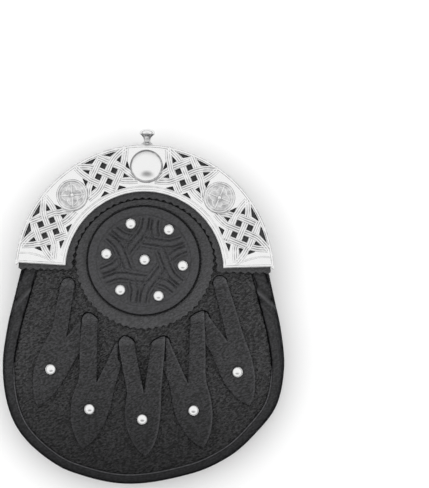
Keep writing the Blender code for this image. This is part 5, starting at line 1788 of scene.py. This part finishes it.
def leaf_outline(leaf, left, right):
    """Outline of a leaf: down its left side, round its tip and up over its two legs."""
    fork, stud, tip = (Vector(place) * MM for place in (leaf.fork, leaf.stud, leaf.tip))
    along = (tip - fork).normalized()
    stud_share = (stud - fork).length / ((stud - fork).length + (tip - stud).length)
    flanks = []
    for leg in (left, right):
        outer = leg_head(leg)[-1 if leg.side < 0.0 else 0]
        flank = [outer, outer.lerp(leg.edge, 0.5) + leg.right * leg.side * 0.2 * MM, leg.edge]
        for share, width in LEAF_TAPER:
            if share < stud_share:
                spot = fork.lerp(stud, share / stud_share)
            else:
                spot = stud.lerp(tip, (share - stud_share) / (1.0 - stud_share))
            flank.append(spot + left_of(along) * leaf.half_width * MM * width * leg.side)
        flanks.append(smooth_curve([*flank, tip], 8))
    right_head = leg_head(right)
    left_head = leg_head(left)
    crotch = [right_head[-1].lerp(fork, 0.97), fork + along * 0.3 * MM, left_head[0].lerp(fork, 0.97)]
    outline = [*flanks[0][1:], *flanks[1][-2:0:-1], *right_head, *crotch, *left_head]
    return divided(outline, 1.2 * MM)


def leaf_edge_highlight(point, out):
    """Painted highlight on the edges that face away from the middle of the pouch, stronger on its right."""
    if point.x * out.x <= 0.0:
        return 0.0
    return (0.2 if point.x > 0.0 else 0.08) * abs(out.x)


class SPORRAN_OT_leaves(bpy.types.Operator):
    """Five leather leaves, each hung on two legs"""

    bl_idname = "sporran.leaves"
    bl_label = "Leaves"

    def execute(self, context):
        sizes = context.scene.sporran_leather
        for number, leaf in enumerate(LEAVES, start=1):
            legs = (leg_of(leaf, -1.0), leg_of(leaf, 1.0))
            body = sheet(
                leaf_outline(leaf, *legs), thickness=LEAF_THICKNESS, edge=sizes.leaf_edge, spacing=1.3 * MM,
                edge_highlight=leaf_edge_highlight,
            )

            def shine(place, legs=legs):
                """Painted highlight on the bent heads of the legs."""
                glow = 0.0
                for leg in legs:
                    if leg.way != "under" and abs((place.xy - leg.start).dot(leg.right)) < 6.0 * MM:
                        glow = max(glow, blend((place.xy - leg.start).dot(leg.along), 8.0 * MM, 3.0 * MM))
                return 0.16 * glow

            def lift(x, y, legs=legs):
                """Height of the leaf's underside, mixed from its legs by how near they are."""
                place = Vector((x, y))
                total = 0.0
                share = 0.0
                for leg in legs:
                    far = abs((place - leg.start).dot(leg.right)) / MM
                    weight = 1.0 / (0.5 + far) ** 6
                    total += weight * leg_lift(leg, place)
                    share += weight
                return total / share

            marked(body, "painted_highlight", shine)
            laid(body, on_front(lift))
            finished(
                f"leather_leaf_{number}_leather", body, "soft leaf leather",
                [f"leather_leaf_{number}"],
            )
        return {"FINISHED"}


class SPORRAN_OT_studs(bpy.types.Operator):
    """Domed studs on the boss and on the leaves"""

    bl_idname = "sporran.studs"
    bl_label = "Studs"

    def execute(self, context):
        sizes = context.scene.sporran_metal
        values = {"Radius": sizes.stud_radius, "Height": sizes.stud_height}
        on_boss = [BOSS_CENTRE, *circle(BOSS_CENTRE, BOSS_STUD_CIRCLE, 6, BOSS_STUD_TURN)]
        on_leaves = [Vector(leaf.stud) * MM for leaf in LEAVES]
        for kind, places, foot in (("boss", on_boss, BOSS_STUD_FOOT), ("leaf", on_leaves, LEAF_STUD_FOOT)):
            studs = grown("studs", [[place] for place in places], CHROME, values)
            laid(studs, on_front(foot))
            nodes = [f"{kind}_stud_{number}" for number in range(1, len(places) + 1)]
            finished(f"{kind}_studs", studs, CHROME, nodes, smooth=50.0)
        return {"FINISHED"}


# Stage


class SPORRAN_OT_stage(bpy.types.Operator):
    """Pale floor, soft studio light and the camera straight above the front"""

    bl_idname = "sporran.stage"
    bl_label = "Stage"

    def execute(self, context):
        scene = context.scene
        scene.view_settings.view_transform = "Standard"
        body = bmesh.new()
        bmesh.ops.create_grid(body, x_segments=2, y_segments=2, size=FLOOR_HALF_SIZE)
        mesh = bpy.data.meshes.new("floor")
        body.to_mesh(mesh)
        body.free()
        mesh.materials.append(finish_of("backdrop paper"))
        floor = bpy.data.objects.new("floor", mesh)
        scene.collection.objects.link(floor)

        world = bpy.data.worlds.new("soft studio")
        world.use_nodes = True
        scene.world = world
        tree = world.node_tree
        toward = node(tree, "ShaderNodeTexCoord").outputs["Generated"]
        level = node(tree, "ShaderNodeSeparateXYZ", toward).outputs["Z"]
        sky = node(tree, "ShaderNodeMapRange", level, 0.0, 0.46, 0.28, 0.97, interpolation_type="SMOOTHSTEP")
        # the dim side of the studio, wider than it is tall: it darkens the low leather and marks the domes
        dim = ((0.5, 1.0, 0.0), (-0.02, 0.38, 0.0))
        away = node(tree, "ShaderNodeVectorMath", toward, *dim, operation="MULTIPLY_ADD")
        away = node(tree, "ShaderNodeVectorMath", away, operation="LENGTH")
        shade = node(tree, "ShaderNodeMapRange", away, 0.08, 0.32, 0.36, 1.0, interpolation_type="SMOOTHSTEP")
        light = node(tree, "ShaderNodeMath", shade, sky, operation="MULTIPLY")
        colours = {"Factor": light, "A": linear("000000"), "B": linear("ffffff")}
        colour = node(tree, "ShaderNodeMix", colours, data_type="RGBA")
        fed(tree.nodes["Background"], {"Color": colour, "Strength": SKY_STRENGTH})
        for name, place, size, power in LAMPS:
            data = bpy.data.lights.new(name, "AREA")
            data.shape = "SQUARE"
            data.size = size
            data.energy = power
            lamp = bpy.data.objects.new(name, data)
            # the metal mirrors the even sky, not the lamps
            lamp.visible_glossy = False
            lamp.location = place
            lamp.rotation_euler = (-Vector(place)).to_track_quat("-Z", "Y").to_euler()
            scene.collection.objects.link(lamp)

        data = bpy.data.cameras.new("camera")
        data.lens = CAMERA_LENS
        data.sensor_width = CAMERA_SENSOR
        data.sensor_fit = "AUTO"
        data.clip_end = 20.0
        camera = bpy.data.objects.new("camera", data)
        camera.location = (*CAMERA_POINT, FRAME_HEIGHT * CAMERA_LENS / CAMERA_SENSOR + FRONT_PEAK)
        camera.rotation_euler = (0.0, 0.0, math.radians(CAMERA_TURN))
        scene.collection.objects.link(camera)
        scene.camera = camera
        return {"FINISHED"}


OPERATORS = (
    SPORRAN_OT_front_panel,
    SPORRAN_OT_gusset,
    SPORRAN_OT_back_panel,
    SPORRAN_OT_back_patch,
    SPORRAN_OT_closure_strap,
    SPORRAN_OT_rings,
    SPORRAN_OT_cantle_backing,
    SPORRAN_OT_cantle,
    SPORRAN_OT_medallions,
    SPORRAN_OT_dome_and_finial,
    SPORRAN_OT_boss,
    SPORRAN_OT_leaves,
    SPORRAN_OT_studs,
    SPORRAN_OT_stage,
)


class SPORRAN_PT_panel(bpy.types.Panel):
    """Sporran pouch: its sizes, colours and pieces"""

    bl_label = "Sporran Pouch"
    bl_idname = "SPORRAN_PT_panel"
    bl_space_type = "VIEW_3D"
    bl_region_type = "UI"
    bl_category = "Sporran"

    def draw(self, context):
        layout = self.layout
        scene = context.scene
        for group in (scene.sporran_leather, scene.sporran_metal, scene.sporran_finish):
            box = layout.box()
            for name in group.__annotations__:
                box.prop(group, name)
        for operator in OPERATORS:
            layout.operator(operator.bl_idname)


CLASSES = (SporranLeatherSizes, SporranMetalSizes, SporranFinish, *OPERATORS, SPORRAN_PT_panel)


def register():
    for item in CLASSES:
        bpy.utils.register_class(item)
    bpy.types.Scene.sporran_leather = bpy.props.PointerProperty(type=SporranLeatherSizes)
    bpy.types.Scene.sporran_metal = bpy.props.PointerProperty(type=SporranMetalSizes)
    bpy.types.Scene.sporran_finish = bpy.props.PointerProperty(type=SporranFinish)


def unregister():
    del bpy.types.Scene.sporran_finish
    del bpy.types.Scene.sporran_metal
    del bpy.types.Scene.sporran_leather
    for item in reversed(CLASSES):
        bpy.utils.unregister_class(item)


def main():
    register()
    for operator in OPERATORS:
        getattr(bpy.ops.sporran, operator.bl_idname.split(".")[1])()


if __name__ == "__main__":
    main()
